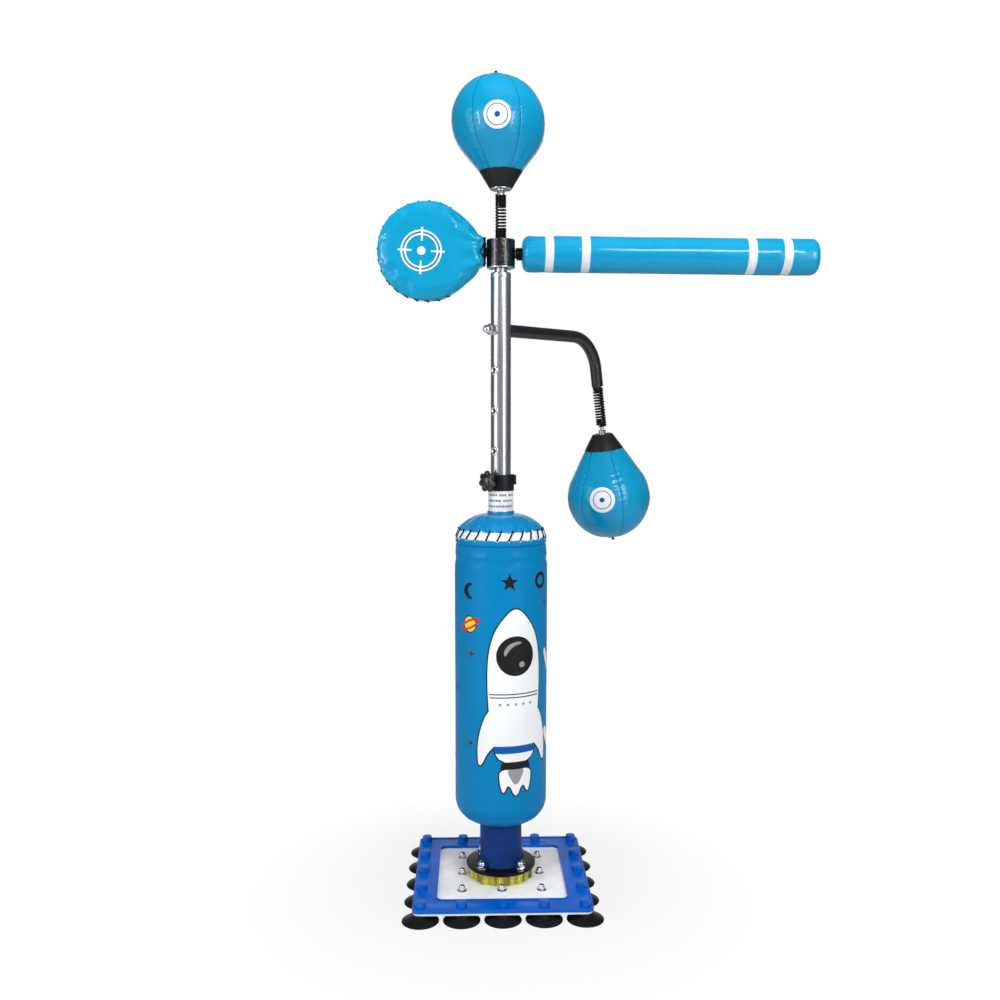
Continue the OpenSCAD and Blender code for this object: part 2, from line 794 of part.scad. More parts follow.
// Black cord that closes the mouth of the paddle's neck
module paddle_lacing() {
    x = -neck_end + 1.3;
    corners = [[-15, 25.5], [-20, 0], [-15, -25.5], [15, -25.5], [20, 0], [15, 25.5]];
    color([0.05, 0.05, 0.05]) for (i = [0:5]) {
        a = corners[i];
        b = corners[(i + 1) % 6];
        run = [0, b.x - a.x, b.y - a.y];
        translate([x, a.x, paddle_z + a.y]) rotate([0, acos(run.z / norm(run)), atan2(run.y, run.x)])
            cylinder(r = 1.2, h = norm(run), $fn = 16);
        translate([x, a.x, paddle_z + a.y]) sphere(1.8);
    }
}

// ---------------------------------------------------------------- punch balls

// Radius at which the straight flank of a ball meets its round part, and that point's angle
function flank_angle(center) =
    let (p = [cone_top_r, cone_h - center], d = norm(p), r = ball_d / 2)
    atan2(p.y, p.x) + acos(r / d);

// Half outline of a ball from the cone's rim to the far end, along its own axis
function ball_outline(center, inset) =
    let (r = ball_d / 2 - inset, a0 = flank_angle(center))
    [
        [cone_top_r - 4 - inset, cone_h - 4 + inset],
        for (i = [0:16]) let (a = a0 + (90 - a0) * i / 16) [r * cos(a), center + r * sin(a)]
    ];

module ball_skin(center) {
    rotate_extrude() difference() {
        polygon(concat(ball_outline(center, 0), [[0, cone_h - 4]]));
        polygon(concat(ball_outline(center, 2), [[0, cone_h - 2]]));
    }
    translate([0, 0, center + ball_d / 2 - 1]) cylinder(r = 2.5, h = nub_h + 1);
}

module ball_bladder(center) {
    rotate_extrude() polygon(concat(ball_outline(center, 2.5), [[0, cone_h - 1.5]]));
}

module ball_cone() {
    rotate_extrude() difference() {
        polygon([[0, 0], [cone_low_r, 0], [cone_top_r, cone_h], [0, cone_h]]);
        polygon([
            [0, cone_h - 4], [cone_top_r - 3.95, cone_h - 4],
            [cone_top_r + 0.2, cone_h + 1], [0, cone_h + 1]
        ]);
        square([m8, 8]);
    }
}

// Chrome disc, nut and post that join the cone to its spring
module ball_fastener(nut_h, disc_r) {
    translate([0, 0, -nut_h - disc_t - 14]) cylinder(r = seat_r, h = 15);
    translate([0, 0, -nut_h - disc_t]) cylinder(r = hex_r(nut_flats), h = nut_h + eps, $fn = 6);
    translate([0, 0, -disc_t]) cylinder(r = disc_r, h = disc_t);
    translate([0, 0, -1]) cylinder(r = m8, h = 8.9);
}

module at_top_ball() {
    translate([0, 0, hub_top + top_spring_len + top_nut_h + disc_t]) children();
}

// The side arm's own plane: x runs outwards from the mast, z is up
module in_arm_plane() { rotate(back_right) children(); }

arm_end_x = arm_straight + arm_bend_r * sin(arm_bend) + arm_tail * cos(arm_bend);
arm_end_z = arm_z - arm_bend_r * (1 - cos(arm_bend)) - arm_tail * sin(arm_bend);

module at_arm_end(along) {
    in_arm_plane() translate([arm_end_x, 0, arm_end_z]) rotate([0, 90 + arm_bend, 0])
        translate([0, 0, along]) children();
}

module top_ball_spring() {
    color([0.06, 0.06, 0.06]) translate([0, 0, hub_top])
        coil_spring(top_spring_len, spring_r, wire_r, top_close_pitch, 4, 7, 6.5);
}
module top_ball_fastener() { color([0.85, 0.85, 0.87]) at_top_ball() ball_fastener(top_nut_h, top_disc_r); }
module top_ball_cone() { color([0.08, 0.08, 0.08]) at_top_ball() ball_cone(); }
module top_ball_skin() { color([0.0, 0.62, 0.84]) at_top_ball() ball_skin(top_ball_center); }
module top_ball_bladder() { color([0.3, 0.3, 0.3]) at_top_ball() ball_bladder(top_ball_center); }

// ---------------------------------------------------------------- side arm

module arm_straight_run(r) {
    translate([mast_r + 3, 0, arm_z]) rotate([0, 90, 0]) cylinder(r = r, h = arm_straight - mast_r - 3);
}

module arm_bent_run(r_out, r_in) {
    translate([arm_straight, 0, arm_z - arm_bend_r]) rotate([90, 0, 0]) rotate([0, 0, 90 - arm_bend])
        rotate_extrude(angle = arm_bend) translate([arm_bend_r, 0]) difference() {
            circle(r_out);
            circle(r_in);
        }
}

module arm_tube() {
    color([0.05, 0.05, 0.06]) in_arm_plane() difference() {
        union() {
            difference() {
                arm_straight_run(arm_r);
                arm_straight_run(arm_r - arm_wall);
            }
            arm_bent_run(arm_r, arm_r - arm_wall);
            // Weld rings inside both ends of the bend
            translate([arm_straight - 3, 0, arm_z]) rotate([0, 90, 0])
                ring(arm_r - 0.6, arm_r - arm_wall - 0.6, 6);
            // Welded end block with the thread for the bolt, hollowed to sit on the mast
            translate([mast_r - 3, 0, arm_z]) rotate([0, 90, 0]) cylinder(r = arm_r, h = 16);
            // Post for the ball's spring
            translate([arm_end_x, 0, arm_end_z]) rotate([0, 90 + arm_bend, 0]) {
                translate([0, 0, -arm_tail]) ring(arm_r, arm_r - arm_wall, arm_tail - 6);
                translate([0, 0, -arm_tail - 3]) ring(arm_r - 0.6, arm_r - arm_wall - 0.6, 6);
                translate([0, 0, -6]) cylinder(r = arm_r, h = 6);
                translate([0, 0, -1]) cylinder(r = seat_r, h = 15);
            }
        }
        cylinder(r = mast_r + hole_lip, h = 2000);
        translate([0, 0, arm_z]) rotate([0, 90, 0]) cylinder(r = m10 + thread_play, h = arm_plug);
    }
}

// Bolt through the mast into the arm, with its washer and cap nut on the near side
module arm_bolt() {
    washer = 2;
    near = -mast_r - hole_lip - washer;
    color([0.85, 0.85, 0.87]) in_arm_plane() translate([0, 0, arm_z]) rotate([0, 90, 0]) {
        translate([0, 0, near - 1]) cylinder(r = m10, h = -near + 1 + arm_plug - 1);
        translate([0, 0, near]) cylinder(r = 9.5, h = washer);
        translate([0, 0, near - 8]) cylinder(r = hex_r(16), h = 8, $fn = 6);
        translate([0, 0, near - 11]) cylinder(r = 7, h = 4);
        translate([0, 0, near - 11]) sphere(7);
    }
}

module arm_ball_spring() {
    color([0.06, 0.06, 0.06]) at_arm_end(0)
        coil_spring(arm_spring_len, spring_r, wire_r, arm_close_pitch, 5, 7, 5.5);
}

ball_along_arm = arm_spring_len + arm_nut_h + disc_t;
module arm_ball_fastener() {
    color([0.85, 0.85, 0.87]) at_arm_end(ball_along_arm) ball_fastener(arm_nut_h, arm_disc_r);
}
module arm_ball_cone() { color([0.08, 0.08, 0.08]) at_arm_end(ball_along_arm) ball_cone(); }
module arm_ball_skin() { color([0.0, 0.62, 0.84]) at_arm_end(ball_along_arm) ball_skin(arm_ball_center); }
module arm_ball_bladder() { color([0.3, 0.3, 0.3]) at_arm_end(ball_along_arm) ball_bladder(arm_ball_center); }

// ---------------------------------------------------------------- nodes

suction_cups_outer();
suction_cups_inner();
center_foot();
base_plate();
stud_frame();
cup_bolts();
cup_washers();
cup_cap_nuts();
absorber_base_inserts();
absorber_base_screws();
shock_absorber();
absorber_top_inserts();
flange_disc();
flange_studs();
flange_washers();
flange_cap_nuts();
column_sleeve();
fixed_tube();
label_band();
bag_core_tube();
bag_foam();
bag_cover();
bag_liner();
bag_cap();
bag_lacing();
clamp_collar();
collar_screw();
star_knob();
mast_tube();
mast_end_plug();
mast_cap_spindle();
bearing_inner_races();
bearing_balls();
spindle_nut();
bearing_outer_races();
hub_housing();
hub_lid();
hub_cover_plate();
hub_cover_screws();
bar_spring();
bar_core();
bar_foam();
bar_cover();
paddle_spring();
paddle_board();
paddle_foam();
paddle_cover();
paddle_lacing();
top_ball_spring();
top_ball_fastener();
top_ball_cone();
top_ball_skin();
top_ball_bladder();
arm_tube();
arm_bolt();
arm_ball_spring();
arm_ball_fastener();
arm_ball_cone();
arm_ball_skin();
arm_ball_bladder();
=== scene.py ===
"""Looks of the free standing boxing trainer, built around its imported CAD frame.

Sizes are millimetres with Z up, as in the CAD; build() and the ray casts turn them into the frame's metres.
"""

import json
from contextlib import contextmanager
from math import acos, atan2, copysign, cos, exp, hypot, pi, radians, remainder, sin

import bmesh
import bpy
import numpy as np
from mathutils import Matrix, Vector, noise
from mathutils.bvhtree import BVHTree
from mathutils.geometry import tessellate_polygon


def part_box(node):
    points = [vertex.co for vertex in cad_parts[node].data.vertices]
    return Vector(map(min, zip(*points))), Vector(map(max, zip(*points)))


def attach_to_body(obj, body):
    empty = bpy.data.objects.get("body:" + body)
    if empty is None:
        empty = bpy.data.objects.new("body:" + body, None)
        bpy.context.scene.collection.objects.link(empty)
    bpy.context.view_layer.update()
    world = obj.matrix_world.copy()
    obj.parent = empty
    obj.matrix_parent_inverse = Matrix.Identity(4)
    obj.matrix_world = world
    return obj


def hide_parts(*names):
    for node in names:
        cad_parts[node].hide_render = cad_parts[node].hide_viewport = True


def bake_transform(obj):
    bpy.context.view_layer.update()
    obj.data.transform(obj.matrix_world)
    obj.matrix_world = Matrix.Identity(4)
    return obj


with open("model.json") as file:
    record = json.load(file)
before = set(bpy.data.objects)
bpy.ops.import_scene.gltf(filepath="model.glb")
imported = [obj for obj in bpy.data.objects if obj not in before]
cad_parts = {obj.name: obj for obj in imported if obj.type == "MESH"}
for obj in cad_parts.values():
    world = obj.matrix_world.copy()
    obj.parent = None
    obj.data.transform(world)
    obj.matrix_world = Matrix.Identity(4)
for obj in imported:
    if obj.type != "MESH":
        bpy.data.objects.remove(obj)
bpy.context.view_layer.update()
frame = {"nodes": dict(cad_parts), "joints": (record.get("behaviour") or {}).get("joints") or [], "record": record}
MM = 0.001
TAU = 2 * pi
FRONT = -pi / 2
UP = Vector((0, 0, 1))
BLUE = (0.0, 0.2, 0.455)
CYAN = (0.0, 0.3, 0.53)
DEEP_CYAN = (0.0, 0.29, 0.53)


# ------------------------------------------------------------------ shader helpers

class Nodes:
    """A node tree under construction."""

    def __init__(self, tree):
        self.tree = tree

    def put(self, socket, value):
        if isinstance(value, bpy.types.NodeSocket):
            self.tree.links.new(value, socket)
        elif isinstance(value, tuple) and len(value) == 3 and socket.type == "RGBA":
            socket.default_value = (*value, 1)
        else:
            socket.default_value = value

    def node(self, kind, inputs=(), **settings):
        """Adds a node, sets it up, fills its inputs and returns its outputs."""
        node = self.tree.nodes.new("ShaderNode" + kind)
        for key, value in settings.items():
            setattr(node, key, value)
        for key, value in dict(inputs).items():
            self.put(node.inputs[key], value)
        return node.outputs


class Shader(Nodes):
    """A node material under construction; textures use each piece's own coordinates at rest."""

    def __init__(self, name):
        self.mat = bpy.data.materials.new(name)
        self.mat.use_nodes = True
        super().__init__(self.mat.node_tree)
        self.bsdf = self.tree.nodes["Principled BSDF"]
        self.coords = self.node("TexCoord")["Object"]
        self.normal = None

    def set(self, **inputs):
        for key, value in inputs.items():
            self.put(self.bsdf.inputs[key.replace("_", " ")], value)

    def scaled(self, *sizes):
        return self.node("VectorMath", {0: self.coords, 1: sizes}, operation="MULTIPLY")[0]

    def noise(self, scale, detail=3, rough=0.5, coords=None):
        inputs = {"Vector": coords or self.coords, "Scale": scale, "Detail": detail, "Roughness": rough}
        return self.node("TexNoise", inputs)["Fac"]

    def cells(self, scale, feature="DISTANCE_TO_EDGE"):
        return self.node("TexVoronoi", {"Vector": self.coords, "Scale": scale}, feature=feature)["Distance"]

    def wave(self, scale, direction, distortion, coords=None):
        inputs = {"Vector": coords or self.coords, "Scale": scale, "Distortion": distortion}
        return self.node("TexWave", inputs, bands_direction=direction)["Fac"]

    def ramp(self, fac, low, high, a=0.3, b=0.7):
        """Maps fac from [a, b] to [low, high]; low and high are numbers or colours."""
        inputs = {"Value": fac, "From Min": a, "From Max": b}
        if isinstance(low, tuple):
            share = self.node("MapRange", inputs)["Result"]
            return self.node("Mix", {0: share, 6: low, 7: high}, data_type="RGBA")[2]
        return self.node("MapRange", {**inputs, "To Min": low, "To Max": high})["Result"]

    def mottle(self, tone, color, dark, light):
        """A colour that wanders between its darker and its lighter neighbour."""
        self.set(Base_Color=self.ramp(tone, *(tuple(min(1, c * k) for c in color) for k in (dark, light))))

    def bump(self, height, strength, distance):
        """Adds a bump; distance is the height in metres that a full step of the texture stands for."""
        inputs = {"Height": height, "Strength": strength, "Distance": distance}
        if self.normal is not None:
            inputs["Normal"] = self.normal
        self.normal = self.node("Bump", inputs)[0]
        self.set(Normal=self.normal)


def leather(name, color, rough=(0.4, 0.5), coat=0.04, spec=0.12, gloss=0.13):
    s = Shader(name)
    s.mottle(s.noise(9), color, 0.95, 1.05)
    s.set(Roughness=s.ramp(s.noise(60, 5), *rough), Specular_IOR_Level=spec)
    s.set(Coat_Weight=coat, Coat_Roughness=gloss)
    s.bump(s.cells(700), 0.08, 0.0002)
    s.bump(s.noise(150, 4, 0.6), 0.16, 0.0005)
    s.bump(s.noise(30, 2), 0.12, 0.0009)
    return s.mat


def metal(name, color, rough, stretch=1, bump=0.03):
    """Bare metal; stretch below 1 draws its scratches out along Z."""
    s = Shader(name)
    coords = s.scaled(1, 1, stretch)
    tone = s.noise(90, 5, 0.6, coords)
    s.mottle(tone, color, 0.92, 1.05)
    s.set(Roughness=s.ramp(tone, *rough), Metallic=1.0)
    s.bump(s.noise(420, 3, 0.6, coords), bump, 0.0002)
    return s.mat


def plastic(name, color, rough=(0.32, 0.46), grain=900, bump=0.06, coat=0.0, spec=0.5, depth=0.00025):
    s = Shader(name)
    s.mottle(s.noise(26, 4), color, 0.86, 1.12)
    s.set(Roughness=s.ramp(s.noise(70, 4), *rough), Specular_IOR_Level=spec)
    s.set(Coat_Weight=coat, Coat_Roughness=0.12)
    s.bump(s.noise(grain, 2, 0.6), bump, depth)
    return s.mat


def fabric(name, color, threads=1400, sheen=0.25, spec=0.3):
    s = Shader(name)
    s.mottle(s.noise(40, 4), color, 0.93, 1.04)
    s.set(Roughness=0.85, Sheen_Weight=sheen, Specular_IOR_Level=spec)
    s.bump(s.wave(threads, "Z", 1.2), 0.25, 0.0003)
    s.bump(s.wave(threads, "DIAGONAL", 1.2), 0.2, 0.0003)
    return s.mat


def polyurethane(name):
    """Clear yellow; upright streaks stand for the light that its lobes gather."""
    s = Shader(name)
    streaks = s.noise(110, 2, coords=s.scaled(1, 1, 0.06))
    s.set(Base_Color=s.ramp(streaks, (0.26, 0.24, 0.0), (0.92, 0.88, 0.02), 0.38, 0.6))
    s.set(Roughness=s.ramp(streaks, 0.03, 0.08), Transmission_Weight=0.4, IOR=1.48, Coat_Weight=0.4)
    s.bump(s.noise(45, 2), 0.04, 0.0006)
    return s.mat


def lumber(name):
    s = Shader(name)
    rings = s.wave(60, "Y", 3.0, coords=s.scaled(1, 8, 1))
    s.set(Base_Color=s.ramp(rings, (0.3, 0.18, 0.08), (0.55, 0.38, 0.2), 0, 1), Roughness=0.6)
    s.bump(s.noise(200, 4, coords=s.scaled(1, 6, 1)), 0.2, 0.0003)
    return s.mat


def foam(name):
    s = Shader(name)
    s.set(Base_Color=s.ramp(s.noise(50), (0.7, 0.7, 0.62), (0.85, 0.84, 0.76)), Roughness=0.95)
    s.bump(s.cells(500, "F1"), 0.5, 0.0006)
    return s.mat


MAT = {
    "bag": leather("bag_leather", BLUE, (0.36, 0.46), 0.03, 0.1),
    "cap": leather("cap_leather", BLUE, (0.2, 0.3), 0.14, 0.35),
    "cyan": leather("cyan_leather", CYAN, (0.26, 0.34), 0.42, 0.1, 0.07),
    "deep_cyan": leather("deep_cyan_leather", DEEP_CYAN, (0.26, 0.34), 0.5, 0.1, 0.07),
    "print_white": leather("print_white", (0.84, 0.86, 0.88)),
    "stripe_white": leather("stripe_white", (0.7, 0.75, 0.78), (0.3, 0.4), 0.2),
    "print_black": leather("print_black", (0.012, 0.012, 0.014)),
    "print_grey": leather("print_grey", (0.3, 0.3, 0.3)),
    "print_red": leather("print_red", (0.62, 0.025, 0.03)),
    "print_brown": leather("print_brown", (0.13, 0.035, 0.03)),
    "print_yellow": leather("print_yellow", (0.85, 0.6, 0.05)),
    "print_navy": leather("print_navy", (0.0, 0.1, 0.38)),
    "chrome": metal("chrome", (0.78, 0.79, 0.82), (0.07, 0.16)),
    "zinc": metal("zinc", (0.6, 0.6, 0.62), (0.25, 0.4)),
    "tube": metal("tube_steel", (0.56, 0.57, 0.59), (0.2, 0.28), 0.06, 0.05),
    "brass": metal("brass", (0.7, 0.5, 0.2), (0.25, 0.4)),
    "rubber": plastic("black_rubber", (0.005, 0.005, 0.006), (0.36, 0.5), 700, 0.1, spec=0.3),
    "cone": plastic("cone_rubber", (0.009, 0.009, 0.009), (0.42, 0.55), 1100, 0.16, spec=0.3),
    "white_paint": plastic("white_paint", (0.93, 0.935, 0.94), (0.38, 0.42), 300, 0.008, spec=0.3),
    "blue_plastic": plastic("blue_plastic", (0.0, 0.105, 0.525), (0.24, 0.27), 400, 0.004, spec=0.25),
    "navy_plastic": plastic("navy_plastic", (0.004, 0.036, 0.17), (0.38, 0.48), 900, 0.05, spec=0.15),
    "black_paint": plastic("black_paint", (0.008, 0.008, 0.01), (0.2, 0.36), 260, 0.3, 0.5),
    "spring_paint": plastic("spring_paint", (0.002, 0.002, 0.002), (0.2, 0.32), 500, 0.08, spec=0.25),
    "disc_paint": plastic("disc_paint", (0.005, 0.005, 0.006), (0.14, 0.22), 400, 0.05, spec=0.16),
    "hub_paint": plastic("hub_paint", (0.004, 0.004, 0.005), (0.16, 0.24), 190, 1.0, 0.5, 0.5, 0.0011),
    "black_plastic": plastic("black_plastic", (0.009, 0.009, 0.01), (0.16, 0.28), 500, 0.05, 0.4),
    "label": plastic("label_film", (0.84, 0.85, 0.86), (0.3, 0.4), 300, 0.03),
    "label_grey": plastic("label_grey", (0.17, 0.175, 0.19), (0.3, 0.4), 300, 0.03),
    "grey_plastic": plastic("core_plastic", (0.2, 0.2, 0.2)),
    "liner": fabric("white_liner", (0.85, 0.85, 0.86)),
    "cord": fabric("black_cord", (0.003, 0.003, 0.0035), 1800, 0.0, 0.12),
    "seam_thread": fabric("seam_thread", (0.0, 0.03, 0.11), 2500, 0.0, 0.12),
    "polyurethane": polyurethane("polyurethane"),
    "wood": lumber("plywood"),
    "foam": foam("foam"),
    "dark_red": plastic("dark_red_edge", (0.07, 0.008, 0.006)),
}


# ------------------------------------------------------------------ frame helpers

BODY_OF = {node: body for body, nodes in frame["record"]["behaviour"]["bodies"].items() for node in nodes}
JOINT_AT = {j["name"]: Vector(j["pos_m"]) / MM for j in frame["joints"] if "pos_m" in j}


def low(node):
    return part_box(node)[0] / MM


def high(node):
    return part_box(node)[1] / MM


def attach(obj, body):
    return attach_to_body(obj, body)


def stand_for(obj, node):
    """obj is shown in place of a CAD node and takes its body."""
    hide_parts(node)
    attach(obj, BODY_OF[node])
    return obj


def bend(obj, node, bodies, start, end):
    """obj shows a part of a CAD node that bends between two bodies, from start to end; bodies, start and end are
    not used.
    """
    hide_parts(node)
    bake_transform(obj)


def up(z):
    return Vector((0, 0, z))


def spoke(a):
    return Vector((cos(a), sin(a), 0))


def frame_at(origin, axis, x_hint):
    """A matrix whose Z runs along axis from origin."""
    z = Vector(axis).normalized()
    x = (Vector(x_hint) - z * z.dot(Vector(x_hint))).normalized()
    m = Matrix((x, z.cross(x), z)).transposed().to_4x4()
    m.translation = Vector(origin)
    return m


# ------------------------------------------------------------------ meshes as (verts, faces), in millimetres

@contextmanager
def editing(mesh):
    bm = bmesh.new()
    bm.from_mesh(mesh)
    yield bm
    bm.to_mesh(mesh)
    bm.free()


def everything(bm):
    return bm.verts[:] + bm.edges[:] + bm.faces[:]


def shown(name, mesh, mat, sharp=None):
    """A smooth object of a mesh, keeping the edges that are sharper than an angle."""
    obj = bpy.data.objects.new(name, mesh)
    bpy.context.scene.collection.objects.link(obj)
    mesh.materials.append(mat)
    mesh.polygons.foreach_set("use_smooth", [True] * len(mesh.polygons))
    if sharp:
        mesh.set_sharp_from_angle(angle=radians(sharp))
    return obj


def piece(name, verts, faces, mat, sharp=None):
    """An object of verts in metres."""
    mesh = bpy.data.meshes.new(name)
    mesh.from_pydata([tuple(v) for v in verts], [], [tuple(f) for f in faces])
    with editing(mesh) as bm:
        bmesh.ops.recalc_face_normals(bm, faces=bm.faces)
    return shown(name, mesh, mat, sharp)


def moved(part, matrix):
    return [matrix @ Vector(v) for v in part[0]], part[1]


def build(name, part, mat, matrix=Matrix(), sharp=None):
    verts, faces = moved(part, matrix)
    return piece(name, [v * MM for v in verts], faces, mat, sharp)


def join(parts):
    """One (verts, faces) from several."""
    verts, faces = [], []
    for v, f in parts:
        base = len(verts)
        verts += v
        faces += [[i + base for i in face] for face in f]
    return verts, faces


def steps(a, b, gap):
    n = max(1, round(abs(b - a) / gap))
    return [a + (b - a) * i / n for i in range(n + 1)]


def ring_faces(rows, cols, closed=False):
    """Quads between rows of points that each go once round."""
    faces = []
    for j in range(rows if closed else rows - 1):
        below, above = j * cols, (j + 1) % rows * cols
        faces += [[below + i, below + (i + 1) % cols, above + (i + 1) % cols, above + i] for i in range(cols)]
    return faces


def soften(profile, radius, count=3, closed=False):
    """Rounds the corners of a line of (r, z) points."""
    out, n = [], len(profile)
    for i, p in enumerate(profile):
        if not closed and i in (0, n - 1):
            out.append(p)
            continue
        a, b, c = Vector(profile[i - 1]), Vector(p), Vector(profile[(i + 1) % n])
        cut = min(radius, (a - b).length * 0.45, (c - b).length * 0.45)
        p0, p1 = b + (a - b).normalized() * cut, b + (c - b).normalized() * cut
        for k in range(count + 1):
            t = k / count
            q = p0 * (1 - t) ** 2 + b * 2 * t * (1 - t) + p1 * t * t
            out.append((max(q.x, 0), q.y))
    return out


def revolve(profile, seg=64, closed=False, start=0.0, dent=None):
    """(verts, faces) of a profile of (r, z) turned about Z; r = 0 closes it in a pole, and dent(r, a) is how
    far a point lies inside the circle."""
    verts, rows = [], []
    for r, z in profile:
        if r < 1e-6:
            rows.append([len(verts)])
            verts.append((0, 0, z))
            continue
        rows.append(list(range(len(verts), len(verts) + seg)))
        for a in (start + TAU * i / seg for i in range(seg)):
            k = r - dent(r, a) if dent else r
            verts.append((k * cos(a), k * sin(a), z))
    faces = []
    for below, above in list(zip(rows, rows[1:])) + ([(rows[-1], rows[0])] if closed else []):
        if len(below) == len(above) == 1:
            continue
        for i in range(seg):
            low_edge, high_edge = ([row[k % len(row)] for k in (i, (i + 1) % seg)] for row in (below, above))
            faces.append(list(dict.fromkeys(low_edge + high_edge[::-1])))
    return verts, faces


def sweep(points, radius, sides=10, closed=False):
    """(verts, faces) of a round tube along points."""
    pts = [Vector(p) for p in points]
    n = len(pts)
    tangents = []
    for i in range(n):
        a = pts[i - 1] if i or closed else pts[i]
        b = pts[(i + 1) % n] if i < n - 1 or closed else pts[i]
        tangents.append((b - a).normalized())
    side = tangents[0].orthogonal().normalized()
    turns = [TAU * k / sides for k in range(sides)]
    verts = []
    for point, along in zip(pts, tangents):
        side = (side - along * side.dot(along)).normalized()
        other = along.cross(side)
        verts += [point + (side * cos(a) + other * sin(a)) * radius for a in turns]
    ends = [] if closed else [list(range(sides)), list(range((n - 1) * sides, n * sides))]
    return verts, ring_faces(n, sides, closed) + ends


def beads(spots, length, radius):
    """(verts, faces) of small six-sided spindles: each spot is (centre, direction, normal)."""
    parts = []
    for centre, along, normal in spots:
        x = along.normalized()
        z = (normal - x * normal.dot(x)).normalized()
        y = z.cross(x)
        ring = [(y * cos(a) + z * sin(a)) * radius for a in (TAU * k / 6 for k in range(6))]
        verts = [centre - x * length / 2]
        for t, r in ((-0.36, 0.75), (0.0, 1.0), (0.36, 0.75)):
            verts += [centre + x * length * t + side * r for side in ring]
        verts.append(centre + x * length / 2)
        faces = []
        for k in range(6):
            m = (k + 1) % 6
            faces += [[0, 1 + m, 1 + k], [13 + k, 13 + m, 19]]
            faces += [[row + k, row + m, row + m + 6, row + k + 6] for row in (1, 7)]
        parts.append((verts, faces))
    return join(parts)


def bevelled(node, mat, width, cuts=()):
    """A copy of a CAD node with rounded edges; cuts are Z planes that give a bending piece its rows."""
    bm = bmesh.new()
    bm.from_mesh(frame["nodes"][node].data)
    bmesh.ops.remove_doubles(bm, verts=bm.verts, dist=2e-6)
    bmesh.ops.dissolve_limit(bm, angle_limit=radians(1.5), verts=bm.verts, edges=bm.edges)
    hard = [e for e in bm.edges if len(e.link_faces) == 2 and e.calc_face_angle(0) > radians(35)]
    bmesh.ops.bevel(
        bm, geom=hard, offset=width * MM, offset_type="OFFSET", segments=3, profile=0.6, affect="EDGES",
        clamp_overlap=True)
    for z in cuts:
        bmesh.ops.bisect_plane(bm, geom=everything(bm), plane_co=(0, 0, z), plane_no=(0, 0, 1))
    mesh = bpy.data.meshes.new(node + "_look")
    bm.to_mesh(mesh)
    bm.free()
    return shown(node + "_look", mesh, mat, 32)


def tree_of(obj):
    bm = bmesh.new()
    bm.from_mesh(obj.data)
    tree = BVHTree.FromBMesh(bm)
    bm.free()
    return tree


def decal(name, loops, ray, tree, mat, lift=0.3, step=3.5):
    """A thin printed patch: the first loop is its outline, further loops are holes, and ray(u, v) gives the
    origin and the direction that carry a flat point on to the surface."""
    bm = bmesh.new()
    flat = [[Vector((u, v, 0)) for u, v in loop] for loop in loops]
    points = [bm.verts.new(p) for loop in flat for p in loop]
    for tri in tessellate_polygon(flat):
        try:
            bm.faces.new([points[i] for i in tri])
        except ValueError:
            pass
    bmesh.ops.remove_doubles(bm, verts=bm.verts, dist=1e-4)
    for axis, normal in ((0, (1, 0, 0)), (1, (0, 1, 0))):
        near, far = (f(v.co[axis] for v in bm.verts) for f in (min, max))
        for k in range(1, int((far - near) / step) + 1):
            spot = Vector(normal) * (near + k * step)
            bmesh.ops.bisect_plane(bm, geom=everything(bm), plane_co=spot, plane_no=normal)
    bmesh.ops.triangulate(bm, faces=bm.faces)
    bm.verts.index_update()
    top, bottom = [], []
    for v in bm.verts:
        origin, direction = ray(v.co.x * MM, v.co.y * MM)
        hit, normal, _, _ = tree.ray_cast(origin, direction)
        if hit is None:
            hit, normal, _, _ = tree.find_nearest(origin + direction * 0.1)
        if normal.dot(direction) > 0:
            normal = -normal
        top.append(hit + normal * lift * MM)
        bottom.append(hit - normal * 0.4 * MM)
    count = len(top)
    faces = [[v.index for v in f.verts] for f in bm.faces]
    faces += [[i + count for i in reversed(f)] for f in faces]
    for a, b in (e.verts for e in bm.edges if len(e.link_faces) == 1):
        faces.append([a.index, b.index, b.index + count, a.index + count])
    bm.free()
    return piece(name, top + bottom, faces, mat, sharp=50)


def circle(radius, n=48, cx=0.0, cy=0.0):
    return [(cx + radius * cos(TAU * i / n), cy + radius * sin(TAU * i / n)) for i in range(n)]


def star(radius, inner, points, cx, cy):
    turns = [pi / 2 + pi * i / points for i in range(points * 2)]
    return [(cx + r * cos(a), cy + r * sin(a)) for a, r in zip(turns, [radius, inner] * points)]


def wobble(p, scale, seed=0.0):
    return noise.noise(Vector(p) * scale + Vector((seed, seed * 1.7, -seed)))


CLOTH = {
    "quality": 5, "mass": 0.3, "tension_stiffness": 12, "compression_stiffness": 12, "shear_stiffness": 6,
    "use_pressure": True, "vertex_group_mass": "pin"}
CLOTH_FRAMES = 20


def points_of(mesh):
    out = np.zeros(len(mesh.vertices) * 3)
    mesh.vertices.foreach_get("co", out)
    return out.reshape(-1, 3)


